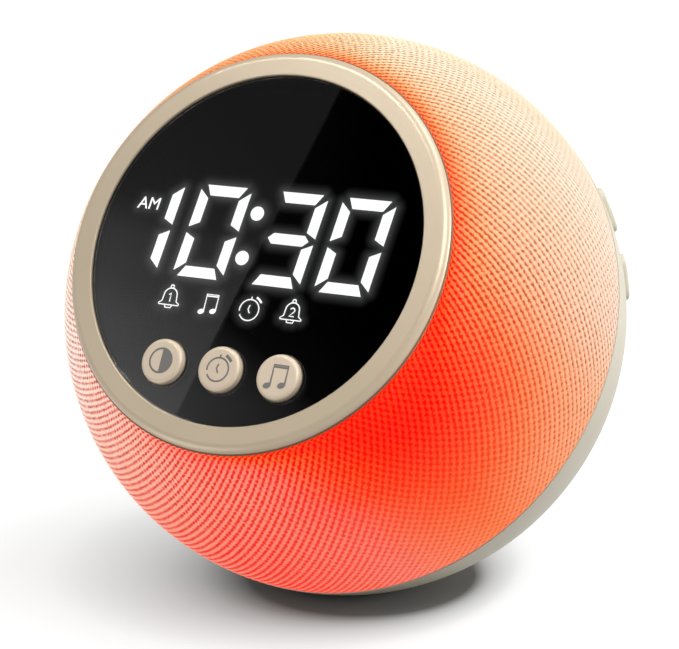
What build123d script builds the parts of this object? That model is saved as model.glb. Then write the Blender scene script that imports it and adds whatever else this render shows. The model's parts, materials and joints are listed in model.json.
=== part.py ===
from build123d import *
import os
from math import asin, cos, degrees, radians, sin, sqrt, tan

# A ball-shaped sunrise alarm clock. Millimetres, +Z up, the face looks along -Y and leans back.
# The origin is the middle of the rubber foot, on the surface that the clock stands on.
os.makedirs("parts", exist_ok=True)

# Gaps that pieces share
touch_gap = 0.05
seat_gap = 0.1
slide_gap = 0.25
cut_overrun = 6.0

# Arms of the cross in every screw head, as a share of the head's radius
cross_share = 0.33

# Ball, seam and stance
ball_radius = 57.0
face_tilt = 29.0
seam_setback = 4.0
seam_gap = 0.2
base_cut = 2.6
base_floor = 3.4

# Rubber foot
foot_radius = 15.5
foot_thickness = 2.0
foot_proud = 1.0
foot_edge_round = 0.4

# Fabric and the milky shell under it
fabric_thickness = 0.7
diffuser_wall = 1.7
diffuser_ledge_width = 4.0
diffuser_ledge_thickness = 2.0

# Bezel ring and lens
bezel_radius = 39.4
bezel_reveal = 0.4
bezel_width = 4.9
bezel_flange = 2.05
bezel_lip = 0.4
bezel_outer_round = 1.6
bezel_inner_round = 0.2
lens_thickness = 1.5
lens_edge_bevel = 0.15
ledge_width = 1.3
ledge_thickness = 1.4
skirt_clearance = 0.3
skirt_depth = 4.35
skirt_inset = 0.5

# Front buttons, their switches and plungers
button_radius = 4.35
button_flange_width = 0.65
button_flange_thickness = 0.8
button_proud = 1.4
button_edge_round = 0.75
button_pitch = 12.4
button_row_margin = 10.5
button_stem_radius = 1.5
button_travel = 0.5
switch_side = 6.0
switch_height = 2.6
switch_floor = 0.6
plunger_radius = 1.6
plunger_proud = 1.0

# Display module and main board
display_top = 13.5
display_button_gap = 3.2
display_edge_clearance = 1.2
display_depth = 5.75
display_corner_round = 1.5
digit_thickness = 0.15
board_thickness = 1.6
board_clearance = 0.3
digit_height_share = 0.631
digit_width_share = 0.1976
digit_middle_share = 0.0847
digit_centre_shares = (-0.8875, -0.357, 0.233, 0.74)
digit_slant_share = 0.098
segment_share = 0.112
segment_corner_share = 0.065
segment_end_share = 0.056
segment_join_share = 0.034
segment_mitre_share = 0.063
colon_radius_share = 0.075
colon_centre_share = -0.063
colon_rise_share = 0.241
digit_segments = ("bc", "abcdef", "abcdg", "abcdef")

# Front bosses and screws
front_boss_radius = 2.4
front_pilot_radius = 1.0
front_screw_radius = 0.95
front_screw_length = 7.0
front_head_radius = 1.9
front_head_height = 1.4
front_hole_radius = 1.3
front_screw_angles = (45, 135, 225, 315)

# Chips and connectors on the back of the main board
connector_width = 8.0
connector_depth = 5.0
connector_height = 6.0
chip_side = 9.0
chip_height = 1.4
chip_place_shares = ((0, 0.04), (-0.45, 0.52), (0.45, 0.52))
connector_place_shares = {
    "speaker": (0, 0.52),
    "inlet": (0, -0.45),
    "side_right": (0.62, 0),
    "side_left": (-0.62, 0),
    "cell": (-0.45, -0.45),
    "led_ring": (0, -0.75),
}

# Chassis: cup round the main board, web behind it, light drum, and the plate at the seam
drum_wall = 1.8
web_width = 7.0
web_thickness = 1.5
plate_thickness = 2.0
plate_front = 0.5
plate_edge_clearance = 1.4
chassis_boss_radius = 4.0
chassis_boss_length = 7.0
chassis_pilot_radius = 1.25
lead_hole_radius = 1.7
lead_hole_height = 10.0

# Ring of LEDs
ring_board_thickness = 1.2
ring_width = 13.0
ring_inner_clearance = 1.7
ring_outer_clearance = 0.6
led_count = 16
led_side = 5.0
led_height = 1.6
led_window_radius = 1.8
led_window_depth = 0.3
ring_screw_radius = 0.95
ring_screw_length = 2.8
ring_screw_count = 4

# Rear cover, its lip and screw posts
cover_wall = 2.4
lip_wall = 2.0
lip_clearance = 0.6
post_radius = 4.2
post_inset = 7.2
post_floor = 3.0
post_bore_radius = 3.1
post_angles = (62, 118, 225, 315)
cover_screw_radius = 1.2
cover_screw_length = 8.5
cover_head_radius = 2.6
cover_head_height = 2.0
cover_hole_radius = 1.5

# Speaker behind the grille
speaker_level = 63.3
speaker_side = 34.0
speaker_corner_round = 5.0
speaker_corner_clearance = 1.35
speaker_seat_inner = 15.2
speaker_seat_wall = 7.8
speaker_screw_offset = 14.2
speaker_pilot_radius = 1.0
speaker_screw_radius = 0.95
speaker_screw_length = 5.0
speaker_hole_radius = 1.3
gasket_thickness = 0.8
frame_flange = 1.2
frame_bore = 14.4
frame_step = 0.4
frame_step_width = 0.7
basket_depth = 8.6
basket_wall = 1.2
magnet_radius = 10.0
magnet_depth = 7.0
coil_gap_inner = 5.6
coil_gap_outer = 7.0
coil_gap_depth = 5.0
coil_inner = 6.1
coil_outer = 6.5
coil_sunk = 3.8
coil_stand = 3.0
cone_thickness = 0.6
cone_rim_gap = 0.4
cone_dome_rise = 1.6
surround_roll = 0.85
surround_wall = 0.4
grille_hole_radius = 0.9
grille_ring_step = 3.6
grille_rings = 4
grille_first_ring = 6

# Side buttons of the rear cover
side_angle = 16.6
side_depth = 29.0
side_pitch = 14.2
side_button_length = 9.5
side_button_width = 4.6
side_button_proud = 1.2
side_button_round = 0.5
side_flange_width = 0.9
side_flange_thickness = 0.8
side_pad_depth = 4.1
side_pad_length = 31.0
side_pad_width = 15.6
side_board_length = 24.0
side_board_width = 15.0
side_board_thickness = 1.2
side_post_radius = 1.9
side_post_offset = 5.4
side_stem_radius = 1.3
side_stem_length = 2.6
side_screw_radius = 0.75
side_screw_length = 4.0
side_pilot_radius = 0.8
side_hole_radius = 1.0
side_head_radius = 1.6
side_head_height = 1.1

# Power inlet
inlet_level = 26.9
inlet_width = 8.94
inlet_height = 3.26
inlet_wall = 0.3
inlet_length = 7.4
inlet_recess_width = 13.0
inlet_recess_height = 7.6
inlet_recess_depth = 1.8
inlet_setback = 0.6
inlet_pad_depth = 5.5
inlet_pad_width = 20.0
inlet_pad_height = 13.0
inlet_opening_gap = 0.15
tongue_width = 6.7
tongue_thickness = 0.7
tongue_setback = 0.7
tongue_root = 1.3
inlet_board_width = 16.0
inlet_board_length = 12.0
inlet_board_thickness = 1.2
inlet_shelf_thickness = 2.2
inlet_screw_offset = 5.6
inlet_screw_inset = 3.0
inlet_screw_radius = 0.75
inlet_screw_length = 2.8
inlet_pilot_radius = 0.8
inlet_hole_radius = 1.0
inlet_head_radius = 1.6
inlet_head_height = 1.1

# Backup coin cell and its door
cell_level = 8.1
cell_radius = 10.0
cell_thickness = 3.2
cell_edge_round = 0.3
cell_clearance = 0.9
cell_floor = 1.6
cell_depth = 4.6
contact_thickness = 0.5
contact_length = 8.0
contact_width = 5.0
door_length = 36.0
door_height = 24.0
door_corner_round = 4.0
door_thickness = 1.8
door_rib_radius = 8.0
door_rib_wall = 1.2
box_wall = 1.6
door_screw_inset = 3.6
door_screw_radius = 0.95
door_screw_length = 5.0
door_pilot_radius = 1.0
door_hole_radius = 1.3
door_head_radius = 1.9
door_head_height = 1.0

# Leads from each board to the main board
lead_radius = 0.8
lead_bend_share = 0.45


# Places worked out from the driving sizes, as heights along the face axis from the ball's middle
ball_centre = Vector(0, 0, ball_radius - base_cut + foot_proud)
lean = radians(face_tilt)
face_normal = Vector(0, -cos(lean), sin(lean))
face = Plane(origin=ball_centre, x_dir=(1, 0, 0), z_dir=face_normal)
face_section = Plane(origin=ball_centre, x_dir=(1, 0, 0), z_dir=Vector(1, 0, 0).cross(face_normal))
face_axis = Axis(ball_centre, face_normal)

diffuser_outer = ball_radius - fabric_thickness - touch_gap
diffuser_inner = diffuser_outer - diffuser_wall
cover_inner = ball_radius - cover_wall
front_cut = sqrt(ball_radius**2 - (bezel_radius + bezel_reveal) ** 2)
flange_back = front_cut + touch_gap
bezel_front = flange_back + bezel_flange
lens_front = bezel_front - bezel_lip
lens_back = lens_front - lens_thickness
lens_radius = bezel_radius - bezel_width
pocket_radius = lens_radius + seat_gap
ledge_radius = lens_radius - ledge_width
ledge_back = lens_back - ledge_thickness
skirt_radius = sqrt(diffuser_inner**2 - front_cut**2) - skirt_clearance
skirt_inner = lens_radius - skirt_inset
skirt_back = flange_back - skirt_depth

button_row_drop = lens_radius - button_row_margin
button_places = [(column * button_pitch, -button_row_drop) for column in (-1, 0, 1)]
button_names = ("brightness", "timer", "music")
button_flange_radius = button_radius + button_flange_width
button_flange_front = lens_back - seat_gap
plunger_length = switch_height + plunger_proud - switch_floor - button_travel - seat_gap
button_flange_back = button_flange_front - button_flange_thickness

display_front = lens_back - touch_gap - digit_thickness
display_back = display_front - display_depth
display_bottom = -(button_row_drop - button_flange_radius - display_button_gap)
display_height = display_top - display_bottom
display_half_width = sqrt((ledge_radius - display_edge_clearance) ** 2 - display_bottom**2)
board_front = display_back
board_back = board_front - board_thickness
board_radius = skirt_inner - board_clearance
boss_circle = skirt_inner - front_boss_radius - board_clearance
web_back = board_back - web_thickness

plate_back = plate_front - plate_thickness
plate_radius = diffuser_inner - plate_edge_clearance
cup_radius = skirt_radius - seat_gap
cup_inner = skirt_inner
cup_front = skirt_back - seat_gap
ring_outer = diffuser_inner - diffuser_ledge_width - ring_outer_clearance
ring_inner = ring_outer - ring_width
ring_middle = (ring_inner + ring_outer) / 2
drum_radius = ring_inner - ring_inner_clearance
drum_inner = drum_radius - drum_wall
web_inner = min(cup_inner - web_width, drum_inner)
ring_front = plate_front + ring_board_thickness

fabric_back = -seam_setback + seam_gap / 2
cover_front = -seam_setback - seam_gap / 2
lip_outer = plate_radius + lip_clearance
lip_inner = lip_outer - lip_wall
lip_front = plate_back - seat_gap
post_circle = plate_radius - post_inset
post_front = plate_back - chassis_boss_length - seat_gap
post_head = post_front - post_floor


def polar(radius, angle):
    """A point on the face, from its distance to the axis and its angle."""
    return (radius * cos(radians(angle)), radius * sin(radians(angle)))


def rim(radius, height):
    """The point of a ball's section at a height along the face axis."""
    return (sqrt(radius**2 - height**2), height)


def rear_plane(level):
    """A plane through the ball's middle that looks out of the back, at a level above the table."""
    turn = asin((level - ball_centre.Z) / ball_radius)
    return Plane(origin=ball_centre, x_dir=(-1, 0, 0), z_dir=(0, cos(turn), sin(turn)))


def side_plane(side):
    """A plane through the ball's middle that looks out between the two buttons of one side."""
    turn = radians(side_angle)
    reach = sqrt(ball_radius**2 - side_depth**2)
    outward = Vector(side * cos(turn) * reach, side_depth, sin(turn) * reach)
    return Plane(origin=ball_centre, x_dir=(-side * sin(turn), 0, cos(turn)), z_dir=outward)


def spot(plane, x, y, height=0, flip=False):
    """A plane at a point of another plane, turned to look back down if flipped."""
    turn = (180, 0, 0) if flip else (0, 0, 0)
    return Plane(plane.location * Location((x, y, height), turn))


def finish(builder, name):
    """Label a finished piece and write its file."""
    builder.part.label = name
    export_step(builder.part, f"parts/{name}.step")


def ball_band(outer_radius, inner_radius, low, high):
    """The section of a spherical wall between two planes square to the face axis."""
    with BuildSketch(face_section) as section:
        with BuildLine():
            for radius in (outer_radius, inner_radius):
                start = degrees(asin(low / radius))
                CenterArc((0, 0), radius, start, degrees(asin(high / radius)) - start)
            Line(rim(outer_radius, low), rim(inner_radius, low))
            Line(rim(outer_radius, high), rim(inner_radius, high))
        make_face()
    return section.sketch


def screw_set(name, seats, shank_radius, shank_length, head_radius, head_height):
    """Cross-head screws, one for each seat plane, which looks the way that the screw goes in."""
    with BuildPart() as screws:
        for seat in seats:
            with BuildSketch(seat):
                Circle(head_radius)
            extrude(amount=-head_height)
            with BuildSketch(seat):
                Circle(shank_radius)
            extrude(amount=shank_length)
            with BuildSketch(seat.offset(-head_height)):
                Rectangle(head_radius, head_radius * cross_share)
                Rectangle(head_radius * cross_share, head_radius)
            extrude(amount=head_height / 2, mode=Mode.SUBTRACT)
    finish(screws, name)


def switch_set(name, seats):
    """Tact switch bodies, one for each seat plane, each with a well for its plunger."""
    with BuildPart() as switches:
        for seat in seats:
            with BuildSketch(seat):
                Rectangle(switch_side, switch_side)
            extrude(amount=switch_height)
            with BuildSketch(seat.offset(switch_floor)):
                Circle(plunger_radius + slide_gap)
            extrude(amount=switch_height, mode=Mode.SUBTRACT)
    finish(switches, name)


def plunger(name, seat):
    """The round plunger that stands out of one switch."""
    with BuildPart() as pin:
        with BuildSketch(seat.offset(switch_height + plunger_proud)):
            Circle(plunger_radius)
        extrude(amount=-plunger_length)
    finish(pin, name)


# Front bezel: a ring with a rounded outer edge, a ledge for the lens, a skirt and four bosses
boss_places = [polar(boss_circle, angle) for angle in front_screw_angles]
with BuildPart() as front_bezel:
    with BuildSketch(face_section):
        with BuildLine():
            Polyline(
                (pocket_radius, bezel_front),
                (bezel_radius, bezel_front),
                (bezel_radius, flange_back),
                (skirt_radius, flange_back),
                (skirt_radius, skirt_back),
                (skirt_inner, skirt_back),
                (skirt_inner, ledge_back),
                (ledge_radius, ledge_back),
                (ledge_radius, lens_back),
                (pocket_radius, lens_back),
                close=True,
            )
        make_face()
    revolve(axis=face_axis)
    front_edges = front_bezel.edges().filter_by(GeomType.CIRCLE).group_by(face_axis)[-1]
    fillet(front_edges.sort_by(SortBy.RADIUS)[-1], bezel_outer_round)
    front_edges = front_bezel.edges().filter_by(GeomType.CIRCLE).group_by(face_axis)[-1]
    fillet(front_edges.sort_by(SortBy.RADIUS)[0], bezel_inner_round)
    with BuildSketch(face.offset(board_front)):
        with Locations(*boss_places):
            Circle(front_boss_radius)
    extrude(amount=ledge_back + ledge_thickness / 2 - board_front)
    with BuildSketch(face.offset(skirt_back)):
        for angle in front_screw_angles:
            with Locations(polar((boss_circle + skirt_inner) / 2, angle)):
                Rectangle(skirt_inner - boss_circle + seat_gap, front_boss_radius, rotation=angle)
    extrude(amount=ledge_back + ledge_thickness / 2 - skirt_back)
    with BuildSketch(face.offset(board_front)):
        with Locations(*boss_places):
            Circle(front_pilot_radius)
    extrude(amount=ledge_back - board_front, mode=Mode.SUBTRACT)
finish(front_bezel, "front_bezel")

# Display lens: a smoked disc with a small edge bevel and a hole for each button
with BuildPart() as display_lens:
    with BuildSketch(face.offset(lens_back)):
        Circle(lens_radius)
    extrude(amount=lens_thickness)
    chamfer(display_lens.faces().sort_by(face_axis)[-1].edges(), lens_edge_bevel)
    with BuildSketch(face.offset(lens_back)):
        with Locations(*button_places):
            Circle(button_radius + slide_gap)
    extrude(amount=lens_thickness + cut_overrun, mode=Mode.SUBTRACT)
finish(display_lens, "display_lens")

# Front buttons, each with a flange under the lens and a stem down to its switch
switch_seats = [spot(face, x, y, board_front) for x, y in button_places]
plunger_top = board_front + switch_height + plunger_proud
for (x, y), seat, name in zip(button_places, switch_seats, button_names):
    with BuildPart() as front_button:
        with BuildSketch(spot(face, x, y, button_flange_back)):
            Circle(button_flange_radius)
        extrude(amount=button_flange_thickness)
        with BuildSketch(spot(face, x, y, button_flange_back)):
            Circle(button_radius)
        extrude(amount=lens_front + button_proud - button_flange_back)
        fillet(front_button.faces().sort_by(face_axis)[-1].edges(), button_edge_round)
        with BuildSketch(spot(face, x, y, plunger_top)):
            Circle(button_stem_radius)
        extrude(amount=button_flange_back - plunger_top)
    finish(front_button, f"button_{name}")
    plunger(f"plunger_{name}", seat)
switch_set("front_switches", switch_seats)

# Display housing: the black block that holds the lit segments, between the lens and the main board
with BuildPart() as display_housing:
    with BuildSketch(face.offset(display_back)):
        with Locations((0, (display_top + display_bottom) / 2)):
            RectangleRounded(2 * display_half_width, display_height, display_corner_round)
    extrude(amount=display_depth)
finish(display_housing, "display_housing")

# Lit digits: seven-segment bars with mitred ends, slanted to the right, and two colon dots
digit_height = display_height * digit_height_share
digit_width = 2 * display_half_width * digit_width_share
digit_middle = display_height * digit_middle_share
bar = digit_height * segment_share
corner = digit_height * segment_corner_share
end_gap = digit_height * segment_end_share
join_gap = digit_height * segment_join_share
mitre = digit_height * segment_mitre_share
half_wide = digit_width / 2
half_tall = digit_height / 2
flat_bar = [
    (corner - half_wide, half_tall),
    (half_wide - corner, half_tall),
    (half_wide - corner - mitre, half_tall - bar),
    (corner + mitre - half_wide, half_tall - bar),
]
side_bar = [
    (half_wide, half_tall - end_gap),
    (half_wide - bar, half_tall - bar - join_gap),
    (half_wide - bar, bar / 2 + join_gap),
    (half_wide, join_gap),
]
middle_bar = [
    (corner - half_wide, 0),
    (corner - half_wide + bar / 2, bar / 2),
    (half_wide - corner - bar / 2, bar / 2),
    (half_wide - corner, 0),
    (half_wide - corner - bar / 2, -bar / 2),
    (corner - half_wide + bar / 2, -bar / 2),
]
segment_bars = {
    "a": (flat_bar, 1, 1),
    "b": (side_bar, 1, 1),
    "c": (side_bar, 1, -1),
    "d": (flat_bar, 1, -1),
    "e": (side_bar, -1, -1),
    "f": (side_bar, -1, 1),
    "g": (middle_bar, 1, 1),
}
with BuildPart() as display_digits:
    with BuildSketch(face.offset(display_front)):
        for centre_share, lit in zip(digit_centre_shares, digit_segments):
            for segment in lit:
                points, flip_x, flip_y = segment_bars[segment]
                moved = [(flip_x * x + flip_y * y * digit_slant_share, flip_y * y) for x, y in points]
                with Locations((centre_share * display_half_width, digit_middle)):
                    Polygon(*moved, align=None)
        for side in (1, -1):
            rise = side * digit_height * colon_rise_share
            run = colon_centre_share * display_half_width + rise * digit_slant_share
            with Locations((run, digit_middle + rise)):
                Circle(digit_height * colon_radius_share)
    extrude(amount=digit_thickness)
finish(display_digits, "display_digits")

# Main board, clamped between the bezel's bosses and the chassis web
with BuildPart() as main_board:
    with BuildSketch(face.offset(board_back)):
        Circle(board_radius)
        with Locations(*boss_places):
            Circle(front_hole_radius, mode=Mode.SUBTRACT)
    extrude(amount=board_thickness)
finish(main_board, "main_board")

with BuildPart() as board_chips:
    with BuildSketch(face.offset(board_back)):
        for x_share, y_share in chip_place_shares:
            with Locations((x_share * web_inner, y_share * web_inner)):
                Rectangle(chip_side, chip_side)
    extrude(amount=-chip_height)
finish(board_chips, "board_chips")

connector_spots = {
    name: (x_share * web_inner, y_share * web_inner)
    for name, (x_share, y_share) in connector_place_shares.items()
}
with BuildPart() as board_connectors:
    with BuildSketch(face.offset(board_back)):
        with Locations(*connector_spots.values()):
            Rectangle(connector_width, connector_depth)
    extrude(amount=-connector_height)
finish(board_connectors, "board_connectors")

front_screw_seats = [spot(face, x, y, web_back) for x, y in boss_places]
screw_set("front_screws", front_screw_seats, front_screw_radius, front_screw_length,
          front_head_radius, front_head_height)

# Fabric cover and the milky shell that it is stretched over
with BuildPart() as fabric_cover:
    revolve(ball_band(ball_radius, ball_radius - fabric_thickness, fabric_back, front_cut), axis=face_axis)
finish(fabric_cover, "fabric_cover")

ledge_outer = diffuser_outer - diffuser_wall / 2
ledge_inner = diffuser_inner - diffuser_ledge_width
ledge_seat = plate_front + touch_gap
ledge_front = ledge_seat + diffuser_ledge_thickness
with BuildPart() as diffuser_shell:
    revolve(ball_band(diffuser_outer, diffuser_inner, fabric_back, front_cut), axis=face_axis)
    revolve(ball_band(ledge_outer, ledge_inner, ledge_seat, ledge_front), axis=face_axis)
finish(diffuser_shell, "diffuser_shell")

# Planes of the rear cover's fittings, and the levels of each along its own plane
speaker = rear_plane(speaker_level)
inlet = rear_plane(inlet_level)
cell = rear_plane(cell_level)
sides = {1: side_plane(1), -1: side_plane(-1)}

speaker_reach = speaker_corner_round + (speaker_side / 2 - speaker_corner_round) * sqrt(2)
speaker_seat = sqrt((cover_inner - speaker_corner_clearance) ** 2 - speaker_reach**2)
speaker_seat_depth = ball_radius - speaker_seat
speaker_seat_outer = speaker_seat_inner + speaker_seat_wall
speaker_corners = [
    (x * speaker_screw_offset, y * speaker_screw_offset) for x in (-1, 1) for y in (-1, 1)
]

side_pad = ball_radius - side_pad_depth
side_flange_front = side_pad - slide_gap
side_flange_back = side_flange_front - side_flange_thickness
side_board_front = side_flange_back - side_stem_length - plunger_proud - switch_height
side_board_back = side_board_front - side_board_thickness
side_posts = [(0, side_post_offset), (0, -side_post_offset)]

inlet_floor = ball_radius - inlet_recess_depth
inlet_mouth = inlet_floor - inlet_setback
inlet_pad = ball_radius - inlet_pad_depth
inlet_back = inlet_mouth - inlet_length
inlet_board_front = inlet_pad - seat_gap
inlet_board_back = inlet_board_front - inlet_board_length
inlet_board_top = -inlet_height / 2
inlet_shelf_top = inlet_board_top - inlet_board_thickness
inlet_screw_level = inlet_board_back + inlet_screw_inset

cell_front = ball_radius - cell_depth
cell_back = cell_front - cell_thickness
cell_seat = cell_back - contact_thickness
cell_pocket = cell_seat - cell_floor
cell_bore = cell_radius + cell_clearance
door_inner = ball_radius - door_thickness
door_screw_offset = door_length / 2 - door_screw_inset

# Chassis: the plate that the shell's ledge sits on, the light drum, and the web and cup of the board
post_places = [polar(post_circle, angle) for angle in post_angles]
ring_screw_places = [
    polar(ring_middle, (turn + 1 / 2) * 360 / led_count)
    for turn in range(0, led_count, led_count // ring_screw_count)
]
chassis_rings = [
    (plate_radius, drum_inner, plate_back, plate_front),
    (drum_radius, drum_inner, plate_back, board_back),
    (max(cup_radius, drum_radius), web_inner, web_back, board_back),
    (cup_radius, cup_inner, web_back, cup_front),
]
with BuildPart() as chassis:
    for outer, inner, low, high in chassis_rings:
        with BuildSketch(face.offset(low)):
            Circle(outer)
            Circle(inner, mode=Mode.SUBTRACT)
        extrude(amount=high - low)
    with BuildSketch(face.offset(plate_back)):
        with Locations(*post_places):
            Circle(chassis_boss_radius)
    extrude(amount=-chassis_boss_length)
    with BuildSketch(face.offset(plate_back)):
        with Locations(*post_places):
            Circle(chassis_pilot_radius)
    extrude(amount=-chassis_boss_length, mode=Mode.SUBTRACT)
    with BuildSketch(face.offset(web_back)):
        with Locations(*boss_places):
            Circle(front_hole_radius)
    extrude(amount=web_thickness, mode=Mode.SUBTRACT)
    with BuildSketch(face.offset(web_back)):
        with Locations(*boss_places):
            Circle(front_head_radius + slide_gap)
    extrude(amount=-front_head_height - slide_gap, mode=Mode.SUBTRACT)
    with BuildSketch(face.offset(plate_back)):
        with Locations(*ring_screw_places):
            Circle(front_pilot_radius)
    extrude(amount=plate_thickness, mode=Mode.SUBTRACT)
    with BuildSketch(Plane(face.location * Location((0, 0, lead_hole_height), (90, 0, 0)))):
        Circle(lead_hole_radius)
    extrude(amount=drum_radius + ring_inner_clearance, mode=Mode.SUBTRACT)
    for plane in sides.values():
        with BuildSketch(plane.offset(side_board_back - slide_gap)):
            Rectangle(side_board_length + 2 * slide_gap, side_board_width + 2 * slide_gap)
        extrude(amount=side_board_thickness + 2 * slide_gap, mode=Mode.SUBTRACT)
finish(chassis, "chassis")

# Ring board with its LEDs, which light the shell from inside
with BuildPart() as led_ring_board:
    with BuildSketch(face.offset(plate_front)):
        Circle(ring_outer)
        Circle(ring_inner, mode=Mode.SUBTRACT)
        with Locations(*ring_screw_places):
            Circle(front_hole_radius, mode=Mode.SUBTRACT)
    extrude(amount=ring_board_thickness)
finish(led_ring_board, "led_ring_board")

with BuildPart() as ring_leds:
    for turn in range(led_count):
        angle = turn * 360 / led_count
        x, y = polar(ring_middle, angle)
        with BuildSketch(spot(face, x, y, ring_front)):
            Rectangle(led_side, led_side, rotation=angle)
        extrude(amount=led_height)
        with BuildSketch(spot(face, x, y, ring_front + led_height)):
            Circle(led_window_radius)
        extrude(amount=-led_window_depth, mode=Mode.SUBTRACT)
finish(ring_leds, "ring_leds")

ring_screw_seats = [spot(face, x, y, ring_front, flip=True) for x, y in ring_screw_places]
screw_set("ring_screws", ring_screw_seats, ring_screw_radius, ring_screw_length,
          front_head_radius, front_head_height)

floor_level = ball_centre.Z - foot_proud - base_floor
floor_radius = sqrt(cover_inner**2 - floor_level**2) + cover_wall / 2

# Rear cover: a ball wall with a lip, and all that stands on its inside
with BuildPart() as door_recess:
    with BuildSketch(cell.offset(cell_front)):
        RectangleRounded(door_length + 2 * slide_gap, door_height + 2 * slide_gap, door_corner_round)
    extrude(amount=cell_depth + cut_overrun)
    with Locations(ball_centre):
        Sphere(door_inner - seat_gap, mode=Mode.SUBTRACT)

with BuildPart() as cover_fittings:
    with BuildSketch(face.offset(post_front)):
        with Locations(*post_places):
            Circle(post_radius)
    extrude(amount=-ball_radius)
    with BuildSketch(speaker.offset(speaker_seat)):
        Circle(speaker_seat_outer)
        Circle(speaker_seat_inner, mode=Mode.SUBTRACT)
    extrude(amount=speaker_seat_depth)
    for plane in sides.values():
        with BuildSketch(plane.offset(side_pad)):
            RectangleRounded(side_pad_length, side_pad_width, side_post_radius)
        extrude(amount=side_pad_depth)
        with BuildSketch(plane.offset(side_board_front)):
            with Locations(*side_posts):
                Circle(side_post_radius)
        extrude(amount=side_pad - side_board_front)
    with BuildSketch(inlet.offset(inlet_pad)):
        Rectangle(inlet_pad_width, inlet_pad_height)
    extrude(amount=inlet_pad_depth)
    with BuildSketch(inlet.offset(inlet_board_back)):
        with Locations((0, inlet_shelf_top)):
            Rectangle(inlet_board_width, inlet_shelf_thickness, align=(Align.CENTER, Align.MAX))
    extrude(amount=inlet_board_length + seat_gap)
    with BuildSketch(cell.offset(cell_pocket)):
        RectangleRounded(door_length + 2 * box_wall, door_height + 2 * box_wall, door_corner_round)
    extrude(amount=ball_radius - cell_pocket)
    with BuildSketch(Plane.XY.offset(foot_proud)):
        Circle(floor_radius)
    extrude(amount=base_floor)
    with Locations(ball_centre):
        Sphere(ball_radius - touch_gap, mode=Mode.INTERSECT)

with BuildPart() as rear_cover:
    with BuildSketch(face_section):
        with BuildLine():
            lip_root = -sqrt(cover_inner**2 - lip_inner**2)
            inner_start = degrees(asin(lip_root / cover_inner))
            outer_start = degrees(asin(cover_front / ball_radius))
            CenterArc((0, 0), ball_radius, -90, outer_start + 90)
            Polyline(
                rim(ball_radius, cover_front),
                (lip_outer, cover_front),
                (lip_outer, lip_front),
                (lip_inner, lip_front),
                (lip_inner, lip_root),
            )
            CenterArc((0, 0), cover_inner, -90, inner_start + 90)
            Line((0, -cover_inner), (0, -ball_radius))
        make_face()
    revolve(axis=face_axis)
    for plane in sides.values():
        with BuildSketch(plane.offset(side_pad)):
            RectangleRounded(side_pad_length, side_pad_width, side_post_radius)
        extrude(amount=side_board_back - side_pad, mode=Mode.SUBTRACT)
    add(cover_fittings.part)
    split(bisect_by=Plane.XY.offset(foot_proud), keep=Keep.TOP)
    with BuildSketch(Plane.XY.offset(foot_proud)):
        Circle(foot_radius + slide_gap)
    extrude(amount=foot_thickness - foot_proud, mode=Mode.SUBTRACT)
    with BuildSketch(face.offset(post_head)):
        with Locations(*post_places):
            Circle(post_bore_radius)
    extrude(amount=-ball_radius, mode=Mode.SUBTRACT)
    with BuildSketch(face.offset(post_front)):
        with Locations(*post_places):
            Circle(cover_hole_radius)
    extrude(amount=-post_floor, mode=Mode.SUBTRACT)
    with BuildSketch(speaker.offset(speaker_seat)):
        Circle(grille_hole_radius)
        for ring in range(1, grille_rings):
            with PolarLocations(ring * grille_ring_step, grille_first_ring * ring):
                Circle(grille_hole_radius)
    extrude(amount=speaker_seat_depth + cut_overrun, mode=Mode.SUBTRACT)
    with BuildSketch(speaker.offset(speaker_seat)):
        with Locations(*speaker_corners):
            Circle(speaker_pilot_radius)
    extrude(amount=speaker_screw_length - frame_flange, mode=Mode.SUBTRACT)
    for plane in sides.values():
        with BuildSketch(plane.offset(side_pad)):
            with Locations((side_pitch / 2, 0), (-side_pitch / 2, 0)):
                SlotOverall(side_button_length + 2 * slide_gap, side_button_width + 2 * slide_gap)
        extrude(amount=side_pad_depth + cut_overrun, mode=Mode.SUBTRACT)
        with BuildSketch(plane.offset(side_board_front)):
            with Locations(*side_posts):
                Circle(side_pilot_radius)
        extrude(amount=side_screw_length, mode=Mode.SUBTRACT)
    with BuildSketch(inlet.offset(inlet_floor)):
        SlotOverall(inlet_recess_width, inlet_recess_height)
    extrude(amount=inlet_recess_depth + cut_overrun, mode=Mode.SUBTRACT)
    with BuildSketch(inlet.offset(inlet_pad)):
        SlotOverall(inlet_width + 2 * inlet_opening_gap, inlet_height + 2 * inlet_opening_gap)
    extrude(amount=inlet_pad_depth, mode=Mode.SUBTRACT)
    for x in (-inlet_screw_offset, inlet_screw_offset):
        pilot = Plane(inlet.location * Location((x, inlet_shelf_top, inlet_screw_level), (90, 0, 0)))
        with BuildSketch(pilot):
            Circle(inlet_pilot_radius)
        extrude(amount=inlet_shelf_thickness, mode=Mode.SUBTRACT)
    add(door_recess.part, mode=Mode.SUBTRACT)
    with BuildSketch(cell.offset(cell_seat)):
        Circle(cell_bore)
    extrude(amount=cell_depth + cell_thickness + contact_thickness, mode=Mode.SUBTRACT)
    with BuildSketch(cell.offset(cell_seat)):
        with Locations((door_screw_offset, 0)):
            Circle(door_pilot_radius)
    extrude(amount=cell_depth + cell_thickness, mode=Mode.SUBTRACT)
finish(rear_cover, "rear_cover")

cover_screw_seats = [spot(face, x, y, post_head) for x, y in post_places]
screw_set("cover_screws", cover_screw_seats, cover_screw_radius, cover_screw_length,
          cover_head_radius, cover_head_height)

# Rubber foot, pressed into the recess of the flat base
with BuildPart() as rubber_foot:
    with BuildSketch(Plane.XY):
        Circle(foot_radius)
    extrude(amount=foot_thickness)
    fillet(rubber_foot.faces().sort_by(Axis.Z)[0].edges(), foot_edge_round)
finish(rubber_foot, "rubber_foot")

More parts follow.
